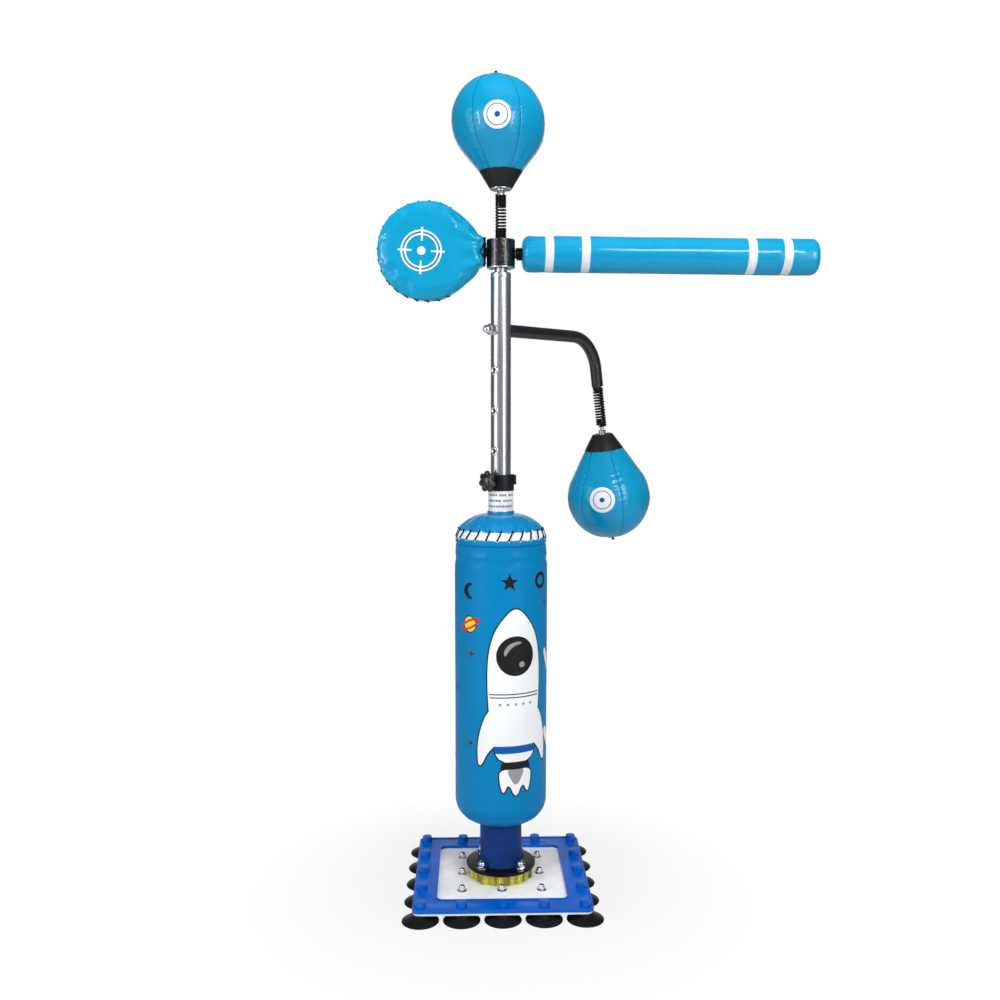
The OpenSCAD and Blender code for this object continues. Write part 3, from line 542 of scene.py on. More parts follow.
def stuff(obj, pins, pressure, shrink, cap, bending):
    """Blows the piece up as cloth, held at its pinned points, and keeps the creases that come of it; cap is
    how far a point may move."""
    mesh = obj.data
    old = points_of(mesh)
    normals = np.array([v.normal for v in mesh.vertices])
    group = obj.vertex_groups.new(name="pin")
    for i, weight in pins:
        group.add([i], weight, "REPLACE")
    cloth = obj.modifiers.new("Cloth", "CLOTH")
    own = {"uniform_pressure_force": pressure, "shrink_min": shrink, "bending_stiffness": bending}
    for key, value in {**CLOTH, **own}.items():
        setattr(cloth.settings, key, value)
    cloth.settings.effector_weights.gravity = 0
    cloth.point_cache.frame_start, cloth.point_cache.frame_end = 1, CLOTH_FRAMES
    for f in range(1, CLOTH_FRAMES + 1):
        bpy.context.scene.frame_set(f)
    shaped = obj.evaluated_get(bpy.context.evaluated_depsgraph_get()).to_mesh()
    shift = np.nan_to_num(points_of(shaped) - old)
    obj.modifiers.remove(cloth)
    bpy.context.scene.frame_set(1)
    shift -= normals * np.median((shift * normals).sum(1))
    size = np.linalg.norm(shift, axis=1, keepdims=True)
    shift *= np.where(size > cap * MM, cap * MM / np.maximum(size, 1e-9), 1)
    mesh.vertices.foreach_set("co", (old + shift).ravel())
    mesh.update()
    obj.vertex_groups.remove(group)


def applied(obj, mod):
    """Puts the shape that a modifier gives into the piece's own mesh."""
    mesh = bpy.data.meshes.new_from_object(obj.evaluated_get(bpy.context.evaluated_depsgraph_get()))
    obj.modifiers.remove(mod)
    old, name = obj.data, obj.data.name
    obj.data = mesh
    bpy.data.meshes.remove(old)
    mesh.name = name


def cushion(obj, node, smooth=True):
    """A padded piece in its final shape, in place of its CAD node; gives its surface for ray casts."""
    if smooth:
        mod = obj.modifiers.new("Subdivision", "SUBSURF")
        mod.levels = mod.render_levels = 1
        applied(obj, mod)
        obj.data.polygons.foreach_set("use_smooth", [True] * len(obj.data.polygons))
    stand_for(obj, node)
    return tree_of(obj)


def stitches(name, spots, mat, body, length=2.6, radius=0.32):
    return attach(piece(name, *beads(spots, length * MM, radius * MM), mat), body)


def smooth_line(points, gap=6):
    """A Catmull-Rom curve through the points."""
    pts = [Vector(p) for p in points]
    out = []
    for i in range(len(pts) - 1):
        a, b, c, d = pts[max(i - 1, 0)], pts[i], pts[i + 1], pts[min(i + 2, len(pts) - 1)]
        for t in (k / gap for k in range(gap)):
            bent = (2 * a - 5 * b + 4 * c - d) * t * t + (3 * b - a - 3 * c + d) * t ** 3
            out.append(0.5 * (2 * b + (c - a) * t + bent))
    return out + [pts[-1]]


# ------------------------------------------------------------------ anchors

HUB_TOP = high("hub_housing").z
BAR_Z = low("bar_cover").z / 2 + high("bar_cover").z / 2
PADDLE_Z = low("paddle_cover").z / 2 + high("paddle_cover").z / 2
BAG_R = high("bag_cover").x
MAST_R = high("mast_tube").y
ALONG_BAR = frame_at((0, 0, BAR_Z), (1, 0, 0), UP)
ALONG_PADDLE = frame_at((0, 0, PADDLE_Z), (-1, 0, 0), UP)
KNOB_SIDE = Vector((-1, -1, 0)).normalized()
ARM_AXIS = (JOINT_AT["arm_ball_swing_side"] - JOINT_AT["arm_ball_swing_out"]).normalized()
ARM_SPRING = (JOINT_AT["arm_ball_swing_side"] - JOINT_AT["arm_ball_swing_out"]).length * 2
ARM_END = frame_at(JOINT_AT["arm_ball_swing_out"] - ARM_AXIS * ARM_SPRING / 4, ARM_AXIS, KNOB_SIDE)
ARM_NUT, TOP_NUT, DISC = 13.0, 6.5, 2.5
ARM_BALL = ARM_END @ Matrix.Translation(up(ARM_SPRING + ARM_NUT + DISC))
TOP_BALL = Matrix.Translation(up(low("top_ball_cone").z))


# ------------------------------------------------------------------ springs

def coil(start, end, radius, wire, pitch_of, count=26):
    """A helix whose turns follow pitch_of(turn); keeps the part whose height lies from start to end."""
    points, z, t = [], wire, 0.0
    while z <= end:
        if z >= start - 1e-6:
            points.append(spoke(TAU * t) * radius + up(z))
        z += pitch_of(t) / count
        t += 1 / count
    return sweep(points, wire)


def graded(runs, length, wire):
    """The pitch at each turn for runs of (turns, pitch), scaled so that the coil fills its length."""
    fill = (length - 2 * wire) / sum(turns * pitch for turns, pitch in runs)

    def pitch_at(t):
        for turns, pitch in runs:
            if t < turns:
                return pitch * fill
            t -= turns
        return runs[-1][1] * fill
    return pitch_at


def ball_spring(node, names, bodies, matrix, length, wire, runs):
    radius, pitch = 8.8, graded(runs, length, wire)
    halves = ((0, length / 2 + 0.05), (length / 2, length - wire))
    for name, pair, ends in zip(names, zip(bodies, bodies[1:]), halves):
        obj = build(name, coil(*ends, radius, wire, pitch), MAT["spring_paint"], matrix)
        bend(obj, node, pair, *(matrix @ up(z) for z in ends))


ball_spring(
    "top_ball_spring", ("top_spring_lower", "top_spring_upper"), ("mast", "top_coil", "top_ball"),
    Matrix.Translation(up(HUB_TOP)), high("top_ball_spring").z - HUB_TOP, 1.75,
    ((5, 3.6), (7, 5.7), (5.5, 3.9)))
ball_spring(
    "arm_ball_spring", ("arm_spring_near", "arm_spring_far"), ("mast", "arm_coil", "arm_ball"),
    ARM_END, ARM_SPRING, 2.15, ((2, 4.2), (10, 5.3), (3, 4.3)))

for side, along in (("bar", ALONG_BAR), ("paddle", ALONG_PADDLE)):
    radius, wire, first = 10.25, 1.75, 27.0
    root = along @ Matrix.Translation(up(first))
    for name, pair, z0, z1 in (
            ("_near", ("hub", side + "_coil"), 0, 8.1), ("_far", (side + "_coil", side), 8, 50)):
        part = coil(z0, z1, radius, wire, lambda t: 2 * wire + 0.08)
        obj = build(side + "_spring" + name, part, MAT["spring_paint"], root)
        bend(obj, side + "_spring", pair, *(along @ up(first + z) for z in (z0, min(z1, z0 + 7))))


# ------------------------------------------------------------------ the bag's body

HEM = 668.0
RIM = high("bag_cover").z
BOTTOM = low("bag_cover").z
ROUND = 44.0


def bag_profile():
    """(outer rows, inner rows) of the cover's section, from the lower hole up and back down inside."""
    def corner(degrees, inset):
        radius, z = ROUND - inset, BOTTOM + ROUND
        return [(BAG_R - ROUND + radius * cos(a), z + radius * sin(a)) for a in map(radians, degrees)]

    hem = ((-0.5, -2.6), (0.4, -1.2), (1.7, -0.3), (1.7, 0.3), (0.3, 1.2), (-0.7, 3.2))
    rim = ((-0.5, -6), (0.3, -3), (1.3, -1), (2.4, 0), (3.6, -0.6), (4.3, -2.4), (4.6, -6))
    outer = [(40.8, BOTTOM + 7), (40.8, BOTTOM + 2.5), (41.6, BOTTOM + 0.6)] + corner(steps(-90, 0, 6.6), 0)
    outer += [(BAG_R, z) for z in steps(BOTTOM + ROUND, HEM - 4, 5)[1:]]
    outer += [(BAG_R - inset, base + z) for base, line in ((HEM, hem), (RIM, rim)) for inset, z in line]
    inner = [(BAG_R - 4.8, z) for z in (640, 520, 400, 280)] + corner((0, -22, -45, -68, -90), 5)
    return outer, inner


outer, inner = bag_profile()
SEG = 112
pins = []
for row, (r, z) in enumerate(outer + inner):
    if row < 3 or row >= len(outer) or z > HEM - 5:
        held = 1.0
    else:
        held = 0.6 if z > HEM - 12 or row < 6 else 0.0
    if held:
        pins += [(row * SEG + i, held) for i in range(SEG)]
bag = build("bag_cover_look", revolve(outer + inner, SEG, closed=True, start=FRONT), MAT["bag"])
stuff(bag, pins, pressure=4, shrink=-0.02, cap=1.6, bending=1.2)
for v in bag.data.vertices[:len(outer) * SEG]:
    x, y, z = v.co / MM
    a, r = atan2(y, x), hypot(x, y)
    if r <= 42:
        continue
    foot = max(0.0, 1 - (z - BOTTOM) / 40)
    shift = 1.5 * foot * cos(24 * a + 2.2 * wobble((x, y, 0), 0.03, 3)) * (0.6 + wobble((x, y, z), 0.02, 8))
    shift += 0.9 * max(0.0, 1 - abs(z - HEM - 3) / 9) * wobble((x, y, 0), 0.16, 6)
    shift += 1.3 * wobble((x, y, z * 0.35), 0.012, 5)
    from_seam = remainder(a - pi / 2, TAU) * BAG_R
    shift -= 1.2 * exp(-(from_seam / 2.2) ** 2)
    k = (r + shift) / r
    v.co.x, v.co.y = x * k * MM, y * k * MM
    if z < BOTTOM + 30:
        v.co.z += shift * 0.5 * foot * MM
    if z > HEM + 4:
        v.co.z += 3.2 * (wobble((x, y, 0), 0.055, 12) + 0.35 * wobble((x, y, 0), 0.2, 14)) * MM
bag_tree = cushion(bag, "bag_cover")

core = high("bag_core_tube").x
filling = soften([
    (core + 0.2, 166), (BAG_R - ROUND, BOTTOM + 10), (BAG_R - 20, BOTTOM + 20), (BAG_R - 9, BOTTOM + 46),
    (BAG_R - 9, 668), (BAG_R - 14, 685), (58, 697), (core + 0.2, 702)], 6, closed=True)
stand_for(build("bag_filling", revolve(filling, 64, closed=True), MAT["foam"]), "bag_foam")


def on_bag(angle, z):
    """A spot for a stitch: a little off the bag's surface, with the surface's normal."""
    out = spoke(angle)
    hit, normal, _, _ = bag_tree.ray_cast((out * 200 + up(z)) * MM, -out)
    normal = normal if normal.dot(out) > 0 else -normal
    return hit + normal * 0.1 * MM, normal


spots = []
for a in (TAU * i / 126 for i in range(126)):
    hit, normal = on_bag(a, HEM)
    spots.append((hit, Vector((-sin(a), cos(a), 0)), normal))
for z in steps(160, HEM - 8, 5):
    for side in (-1, 1):
        hit, normal = on_bag(pi / 2 + side * 3.4 / BAG_R, z)
        spots.append((hit, UP, normal))
stitches("bag_stitches", spots, MAT["seam_thread"], "column")


# ------------------------------------------------------------------ the bag's cap, liner and lacing

LACES = 24
LACE_FIRST = radians(11.3)
EDGE_Z = 694.0
EDGE_R = high("bag_cap").x - 0.4
NECK_Z = high("bag_cap").z - 1


def cap_point(r, z, a):
    """A point of the cap: gathers run up from the hem, where the lace pulls it in."""
    ring = spoke(a) * 80
    near = exp(-max(0.0, z - EDGE_Z) / 9) if r > 60 else 0.0
    pull = (0.5 + 0.5 * cos(LACES * (a - LACE_FIRST))) * near
    top = max(0.0, min(1.0, (NECK_Z - 2 - z) / 26)) if r > 30 else 0.0
    spot = ring + up(z * 0.25)
    folds = top * (2.8 * wobble(spot, 0.11, 2) + 2.0 * wobble(spot, 0.045, 9))
    line = wobble(ring + up(z * 0.1), 0.07, 31)
    crease = 2.2 * max(0.0, 1 - abs(line) * 9) * top * exp(-max(0.0, z - EDGE_Z) / 16)
    grow = 0.5 - pull + folds - crease
    rise = 2.2 * wobble(spot, 0.05, 17) * near
    return spoke(a) * (r + grow * 0.7) + up(z + grow * 0.6 + 1.2 * pull + rise)


cap_line = soften([
    (76.5, EDGE_Z + 1.5), (77.3, EDGE_Z - 0.8), (EDGE_R, EDGE_Z), (EDGE_R - 0.2, EDGE_Z + 2.2),
    (76.6, EDGE_Z + 6), (73.2, 703.3), (69, 706.8), (65, 709.8), (61, 712.3), (56.5, 714.9), (52, 717.2),
    (47.5, 719.3), (43, 720.6), (38, 721.8), (33, 722.6), (28.6, 723), (25.8, 723.2), (25.0, 724.2),
    (25.2, NECK_Z + 1), (23.6, NECK_Z + 1), (23.6, 720.5), (40, 717), (56, 710.5), (68, 702),
    (73.5, 697.5)], 2.2, 2, closed=True)
seg = LACES * 12
cap_verts = [cap_point(r, z, FRONT + TAU * i / seg) for r, z in cap_line for i in range(seg)]
cap = build("bag_cap_look", (cap_verts, ring_faces(len(cap_line), seg, True)), MAT["cap"])
cap_tree = cushion(cap, "bag_cap", smooth=False)

liner_line = soften([
    (81, 674), (83.4, 674), (83.8, 681), (82.6, 686), (EDGE_R - 0.6, EDGE_Z + 0.5), (EDGE_R - 4, EDGE_Z + 4),
    (73, 698), (75, 694), (80, 681)], 1.2, 2, closed=True)
liner_verts, liner_faces = revolve(liner_line, LACES * 8, closed=True)
for i, (x, y, z) in enumerate(liner_verts):
    k = 1 - 0.008 * cos(LACES * (atan2(y, x) - LACE_FIRST)) + 0.012 * wobble((x, y, z), 0.08, 4)
    liner_verts[i] = (x * k, y * k, z)
liner = build("bag_liner_look", (liner_verts, liner_faces), MAT["liner"])
liner_tree = cushion(liner, "bag_liner", smooth=False)

# A lace's points: share of its lean, height and distance over the surface
LACE = (
    (0.0, 679.4, -0.6), (0.04, 681, 0.5), (0.25, 684.5, 0.8), (0.5, 687.8, 0.8),
    (0.75, 691.2, 0.8), (0.92, 694.2, 1.0), (1.0, 696.2, 0.5), (1.04, 697.4, -0.8))
cords, glint_beads = [], []
for i in range(LACES):
    lean = radians(2.5 + 0.6 * sin(5 * i))
    path = []
    for t, z, over in LACE:
        out = spoke(LACE_FIRST + TAU * i / LACES + lean * (2 * t - 1))
        hits = [tree.ray_cast((out * 120 + up(z)) * MM, -out)[0] for tree in (bag_tree, liner_tree, cap_tree)]
        path.append(out * (max(hit.xy.length for hit in hits if hit is not None) / MM + over) + up(z))
    cords.append(sweep(smooth_line(path, 3), 1.55, 8))
    # Painted highlights: a small white bead below the foot of each lace stands for a glint there.
    glint_bead = revolve([(0, -1.3), (1.0, -0.9), (1.4, 0), (1.0, 0.9), (0, 1.3)], 10)
    foot = path[1] + path[1].xy.normalized().to_3d() * 0.7 - up(2.4)
    glint_beads.append(moved(glint_bead, Matrix.Translation(foot)))
stand_for(build("bag_lacing_look", join(cords), MAT["cord"]), "bag_lacing")
# The white beads below the lace feet are painted highlights.
attach(build("lace_glint_beads", join(glint_beads), MAT["liner"]), "column")


# ------------------------------------------------------------------ prints on the bag

def round_ray(radius):
    """A decal's ray function for an upright round surface, seen from the front."""
    def ray(u, v):
        out = spoke(FRONT + u / (radius * MM))
        return out * 0.2 + up(v), -out
    return ray


def at(loop, u=0.0, v=0.0, turn=0.0):
    c, s = cos(radians(turn)), sin(radians(turn))
    return [(u + x * c - y * s, v + x * s + y * c) for x, y in loop]


def grown(loop, d):
    """The outline moved outwards by d."""
    n, out = len(loop), []
    area = sum(loop[i - 1][0] * loop[i][1] - loop[i][0] * loop[i - 1][1] for i in range(n))
    side = 1 if area > 0 else -1
    for i in range(n):
        a, b, c = Vector(loop[i - 1]), Vector(loop[i]), Vector(loop[(i + 1) % n])
        e, f = (b - a).normalized(), (c - b).normalized()
        m = (Vector((e.y + f.y, -e.x - f.x)) * side).normalized()
        cosine = max(0.5, m.dot(Vector((e.y, -e.x)) * side))
        out.append(tuple(b + m * d / cosine))
    return out


def smooth(loop, rounds=2):
    """Chaikin's corner cutting."""
    for _ in range(rounds):
        pairs = [(Vector(p), Vector(q)) for p, q in zip(loop, loop[1:] + loop[:1])]
        loop = [tuple(p * k + q * (1 - k)) for p, q in pairs for k in (0.75, 0.25)]
    return loop


def both(half, *middle):
    """A half outline, the points on the axis and the half's mirror image."""
    return half + list(middle) + [(-x, y) for x, y in reversed(half)]


def rocket(loop, v=0.0):
    return at(loop, 26, v)


def bag_print(name, color, lift, *loops):
    shape = decal("print_" + name, loops, round_ray(BAG_R), bag_tree, MAT["print_" + color], lift)
    attach(shape, "column")


hull = smooth([(0, 557)] + both([(-16, 547), (-42, 512), (-54, 462), (-53, 385), (-44, 312), (-34, 268)]))
fin = smooth([(46, 372), (61, 350), (73, 308), (73, 266), (66, 260), (54, 286), (38, 302), (38, 330)])
flame = smooth(both([(-30, 258), (-32, 236), (-24, 206), (-14, 232)], (0, 198)))
white = {"flame": flame, "fin_right": fin, "fin_left": [(-x, y) for x, y in fin], "hull": hull}
for name, loop in white.items():
    bag_print(name + "_line", "black", 0.22, rocket(grown(loop, 2.6)))
for name, loop in white.items():
    bag_print(name, "white", 0.46 if name == "hull" else 0.34, rocket(loop))
bag_print("flame_core", "grey", 0.46, rocket(smooth(both([(-16, 258), (-14, 244)], (0, 222)))))
bag_print("nozzle", "black", 0.58, rocket(both([(-26, 270), (-30, 256)])))
bag_print("window", "black", 0.58, rocket(circle(37, 64, 0, 468)))
shine = smooth([(-24, 8), (-14, 22), (4, 28), (14, 24), (-2, 20), (-14, 10), (-20, -2)])
bag_print("window_shine", "grey", 0.7, rocket(shine, 468))
bag_print("window_dot", "grey", 0.7, rocket(circle(5.5, 24, 12, 452)))
for k, z in enumerate((398, 392)):
    bag_print("band_%d" % k, "black", 0.58, rocket(both([(k - 50, z), (k - 50, z - 2)])))
for k, x in enumerate((-30, -15, 0, 15, 30)):
    bag_print("rivet_%d" % k, "grey", 0.58, rocket(circle(2.6, 16, x, 378)))
bag_print("stripe", "navy", 0.58, rocket(both([(-41, 300), (-38, 286)])))

planet = (-66, 524)
bag_print("planet_line", "black", 0.22, circle(16, 40, *planet))
bag_print("planet", "yellow", 0.34, circle(14, 40, *planet))
ring = [[(a * x, b * y) for x, y in circle(1)] for a, b in ((25, 8.5), (18.5, 4.6))]
bag_print("planet_ring", "red", 0.46, *(at(loop, *planet, turn=24) for loop in ring))

moon = smooth([
    (0, 16), (-12, 11), (-17, 0), (-12, -11), (0, -16), (8, -13), (-2, -8), (-6, 0), (-2, 8), (8, 13)])
bag_print("moon", "black", 0.3, at(moon, -66, 586))
bag_print("star_dark", "black", 0.3, star(17, 7.2, 5, 14, 604))
bag_print("ring_dark", "black", 0.3, circle(16, 48, 84, 604), circle(9, 48, 84, 604))
stars = (
    (-62, 470, 11.5), (101, 560, 11), (-107, 397, 7), (103, 318, 9), (-128, 540, 9), (-150, 350, 8),
    (150, 470, 9))
for k, (u, v, r) in enumerate(stars):
    bag_print("star_%d" % k, "brown", 0.3, star(r, r * 0.27, 4, u, v))
dots = ((-63, 301, 4.2), (-132, 260, 2.6), (128, 400, 3), (-130, 610, 2.6), (140, 236, 2.6))
for k, (u, v, r) in enumerate(dots):
    bag_print("dot_%d" % k, "brown", 0.3, circle(r, 20, u, v))
for name, loop in (
        ("comet", [(96, 470), (104, 476), (116, 452), (132, 418), (120, 424), (106, 444)]),
        ("comet_low", [(98, 318), (108, 326), (122, 300), (134, 268), (118, 280), (102, 302)])):
    bag_print(name + "_line", "black", 0.22, grown(smooth(loop), 2.2))
    bag_print(name, "white", 0.34, smooth(loop))


# ------------------------------------------------------------------ punch balls

PANELS = 6
RIM_Z = 30.0
RIM_R = 39.0
ROW_GAP = 3.2
TOP_C, ARM_C = 119.0, 134.5
BALL_R = (high("top_ball_skin").x - low("top_ball_skin").x) / 2


def ball_section(centre):
    """(r, z) rows of a ball from the cone's rim to the far end, evenly spaced."""
    rim = Vector((RIM_R, RIM_Z))
    a0 = atan2(RIM_Z - centre, RIM_R) + acos(BALL_R / hypot(RIM_R, RIM_Z - centre))
    arc = [Vector((BALL_R * cos(a), centre + BALL_R * sin(a))) for a in steps(a0, pi / 2, ROW_GAP / BALL_R)]
    length = (arc[0] - rim).length
    flank = [rim.lerp(arc[0], t / length) for t in steps(0, length, ROW_GAP)]
    return [(35.5, RIM_Z - 4), (36.5, RIM_Z - 2)] + [tuple(p) for p in flank + arc[1:-1]]


def panel_angles():
    """Columns round one panel in shares of it, close together by its seams."""
    half = [0, 0.010, 0.022, 0.036, 0.056, 0.085, 0.125, 0.18, 0.25, 0.335, 0.42]
    return half + [0.5] + [1 - x for x in reversed(half[1:])]


def swell(p, s, spot, seed, end):
    """How far the skin of panel p stands off its plain section, at a share s of the way across the panel."""
    r, z = spot.xy.length, spot.z
    near_rim = exp(-max(0, z - RIM_Z) / 7)
    near_end = exp(-max(0, end - z) / 5)
    arc = min(s, 1 - s) * TAU / PANELS * r
    pucker = exp(-arc / 8) * (1 - exp(-arc / 1.4)) * (1 - near_end)
    side = 1 if s < 0.5 else 2
    seam = (p + (s > 0.5)) % PANELS
    strength = 0.35 + 1.3 * abs(wobble((seam * 7, z, side), 0.03, seed + 3))
    shift = 1.4 * sin(pi * s) - 0.1 - 0.6 * exp(-(arc / 1.1) ** 2) * (1 - 0.7 * near_end)
    shift += 1.2 * pucker * strength * sin(z / 1.7 + 1.3 * side + 2 * wobble((seam * 10, z, 0), 0.06, seed))
    shift += 0.8 * wobble(spot, 0.028, seed) + 0.16 * wobble(spot, 0.09, seed + 5)
    gathers = cos(18 * atan2(spot.y, spot.x) + 3 * wobble(spot, 0.05, seed))
    return shift + near_rim * (gathers - 1.3)


def punch_ball(name, matrix, body, seam, seed, centre, lean, flat):
    """The stitched skin; seam is the angle of one seam in the ball's own frame, lean the sideways shift of
    its far end, and flat the share by which its far half is pressed in."""
    rows = ball_section(centre)
    end = centre + BALL_R

    def bent(point, height):
        """The point after the far half is pressed in and the ball leans; height is its row's."""
        z = centre + (point.z - centre) * (1 - flat) if point.z > centre else point.z
        return Vector((point.x - lean * max(0.0, height - RIM_Z) / (end - RIM_Z), point.y, z))

    cols = [(p, s) for p in range(PANELS) for s in panel_angles()]
    verts = []
    for r, z in rows:
        for p, s in cols:
            out = spoke(seam + TAU * (p + s) / PANELS)
            spot = out * r + up(z)
            shift = swell(p, s, spot, seed, end) if z >= RIM_Z else -1.6
            if z > centre - 20:
                out = out.lerp((spot - up(centre)).normalized(), min(1, (z - centre + 20) / 40)).normalized()
            verts.append(bent(spot + out * shift, z))
    n, count = len(cols), len(rows)
    tip = len(verts)
    top = centre + BALL_R * (1 - flat)
    verts += [Vector((-lean, 0, top - 0.4)), up(RIM_Z - 4)]
    faces = ring_faces(count, n)
    faces += [[(count - 1) * n + i, (count - 1) * n + (i + 1) % n, tip] for i in range(n)]
    faces += [[(i + 1) % n, i, tip + 1] for i in range(n)]
    tree = cushion(build(name + "_look", (verts, faces), MAT["deep_cyan"], matrix), name)

    core = [(max(1.0, r - 5), z) for r, z in rows[3:]]
    verts, faces = revolve([(0, core[0][1])] + core + [(0, end - 5)], 48)
    bladder = name.replace("skin", "bladder")
    inside = [bent(Vector(v), v[2]) for v in verts]
    stand_for(build(bladder + "_look", (inside, faces), MAT["rubber"], matrix), bladder)

    spots = []
    for out in (spoke(seam + TAU * p / PANELS) for p in range(PANELS)):
        for (r, z), (r2, z2) in zip(rows[3:-4], rows[4:-3]):
            hit, normal, _, _ = tree.find_nearest(matrix @ bent(out * r + up(z), z) * MM)
            spots.append((hit + normal * 0.1 * MM, matrix.to_3x3() @ (out * (r2 - r) + up(z2 - z)), normal))
    stitches(name + "_stitches", spots, MAT["cord"], body, 1.7, 0.55)

    nub = soften([(0, -4), (6.5, -3.2), (6.5, 0.2), (4.4, 1.4), (3.0, 2.2), (2.8, 9.0), (0, 9.4)], 0.7)
    foot = matrix @ Matrix.Translation((-lean, 0, top - 0.8))
    attach(build(name + "_valve", revolve(nub, 28), MAT["rubber"], foot), body)
    return tree


def ball_print(name, tree, matrix, azimuth, elevation, body, centre, radius):
    """A plain white disc with a thin ring and a dot, on the side that faces a direction given in degrees."""
    out = (spoke(radians(azimuth)) * cos(radians(elevation)) + up(sin(radians(elevation)))).normalized()
    right = UP.cross(-out).normalized()
    rise = out.cross(right)
    rise = -rise if rise.z < 0 else rise
    middle = matrix @ up(centre) * MM

    def ray(u, v):
        return middle + out * 0.2 + right * u + rise * v, -out
    for key, color, lift, loops in (
            ("_edge", "navy", 0.2, [circle(radius, 64)]),
            ("_disc", "white", 0.32, [circle(radius - 0.8, 64)]),
            ("_ring", "navy", 0.44, [circle(19, 56), circle(17.4, 56)]),
            ("_dot", "navy", 0.44, [circle(5, 28)])):
        attach(decal(name + key, loops, ray, tree, MAT["print_" + color], lift), body)


ARM_FACE = -106.2
arm_seam = radians(225 - ARM_FACE - 28)
top_tree = punch_ball("top_ball_skin", TOP_BALL, "top_ball", radians(-4), 1.0, TOP_C, 9.0, 0.02)
ball_print("top_print", top_tree, TOP_BALL, -95.8, -5.5, "top_ball", TOP_C, 25.3)
arm_tree = punch_ball("arm_ball_skin", ARM_BALL, "arm_ball", arm_seam, 21.0, ARM_C, 0.0, 0.0)
ball_print("arm_print", arm_tree, ARM_BALL, ARM_FACE, -0.5, "arm_ball", ARM_C, 27.0)

cone_line = soften([
    (0, 0), (21, 0), (RIM_R + 0.3, RIM_Z), (RIM_R - 0.5, RIM_Z + 0.9), (RIM_R - 2.2, RIM_Z + 0.4),
    (RIM_R - 4.5, RIM_Z - 3.6), (0, RIM_Z - 3.8)], 0.9)
edge_line = circle(0.75, 6, RIM_R + 0.1, RIM_Z + 0.35)
for body, matrix in (("top_ball", TOP_BALL), ("arm_ball", ARM_BALL)):
    node = body + "_cone"
    stand_for(build(node + "_look", revolve(cone_line, 72), MAT["cone"], matrix, sharp=50), node)
    edge = build(node + "_edge", revolve(edge_line, 72, closed=True), MAT["dark_red"], matrix)
    attach(edge, body)


def hex_nut(flats, z0, z1):
    r = flats / 3 ** 0.5
    return revolve([(0, z0), (r - 0.9, z0), (r, z0 + 0.8), (r, z1 - 0.8), (r - 0.9, z1), (0, z1)], 6)


def turned(base, *profile):
    """A turned part whose heights are measured from base."""
    return revolve(soften([(r, z + base) for r, z in profile], 0.5), 40)


post = ((0, -14), (6.2, -14), (6.9, -13.2), (6.9, -0.6), (0, -0.6))
top_nut = join([
    turned(0, (0, -DISC), (19.2, -DISC), (20.7, -1.2), (20.7, -0.1), (0, -0.1)),
    turned(-DISC, (0, -1.2), (8.6, -1.2), (8.6, 0.3), (0, 0.3)),
    hex_nut(12.6, -DISC - TOP_NUT + 0.2, -DISC - 1.0),
    turned(-DISC - TOP_NUT, *post)])
arm_nut = join([
    turned(0, (0, -DISC), (8.4, -DISC), (9.2, -1.6), (9.2, -0.1), (0, -0.1)),
    hex_nut(13, -DISC - 6.6, -DISC + 0.2),
    turned(-DISC, (0, -ARM_NUT), (4.2, -ARM_NUT), (4.2, -6), (0, -6)),
    turned(-DISC - ARM_NUT, *post)])
for body, nut, matrix in (("top_ball", top_nut, TOP_BALL), ("arm_ball", arm_nut, ARM_BALL)):
    stand_for(build(body + "_fastener_look", nut, MAT["chrome"], matrix, sharp=32), body + "_fastener")


# ------------------------------------------------------------------ the paddle

PAD_X, PAD_R, PAD_HALF = -137.2, 91.0, 25.0
NECK_X = high("paddle_cover").x + 2.4
FLANK = radians(42)
neck_line = [(-57.5, 51), (-50, 42), (-44, 34.5), (-38.5, 29.5), (NECK_X, 26.5)]
outline = [(PAD_X + PAD_R * cos(a), PAD_R * sin(a)) for a in steps(FLANK, TAU - FLANK, 0.06)]
outline += [(x, -z) for x, z in neck_line] + neck_line[::-1]


def slab(line, half):
    """(verts, faces) of an outline in x and z, closed by two flat faces."""
    n = len(line)
    verts = [(x, y, z) for y in (-half, half) for x, z in line]
    sides = [[i, (i + 1) % n, (i + 1) % n + n, i + n] for i in range(n)]
    return verts, [list(range(n)), list(range(2 * n - 1, n - 1, -1))] + sides


at_paddle = Matrix.Translation(up(PADDLE_Z))
paddle = build("paddle_cover_look", slab(outline, PAD_HALF), MAT["cyan"], at_paddle)
with editing(paddle.data) as bm:
    rims = [
        e for e in bm.edges if min(abs(v.co.y) for v in e.verts) > PAD_HALF * MM - 1e-6
        and abs(e.verts[0].co.y - e.verts[1].co.y) < 1e-6]
    bmesh.ops.bevel(
        bm, geom=rims, offset=14 * MM, segments=5, profile=0.5, affect="EDGES", clamp_overlap=True)
remesh = paddle.modifiers.new("Remesh", "REMESH")
remesh.mode = "VOXEL"
remesh.voxel_size = 4.0 * MM
applied(paddle, remesh)

STITCH_ANGLES = [radians(62 + 13 * i) for i in range(19)]


def rim_point(a, inset=0.0, y=0.0):
    return Vector((PAD_X + (PAD_R - inset) * cos(a), y, PADDLE_Z + (PAD_R - inset) * sin(a)))


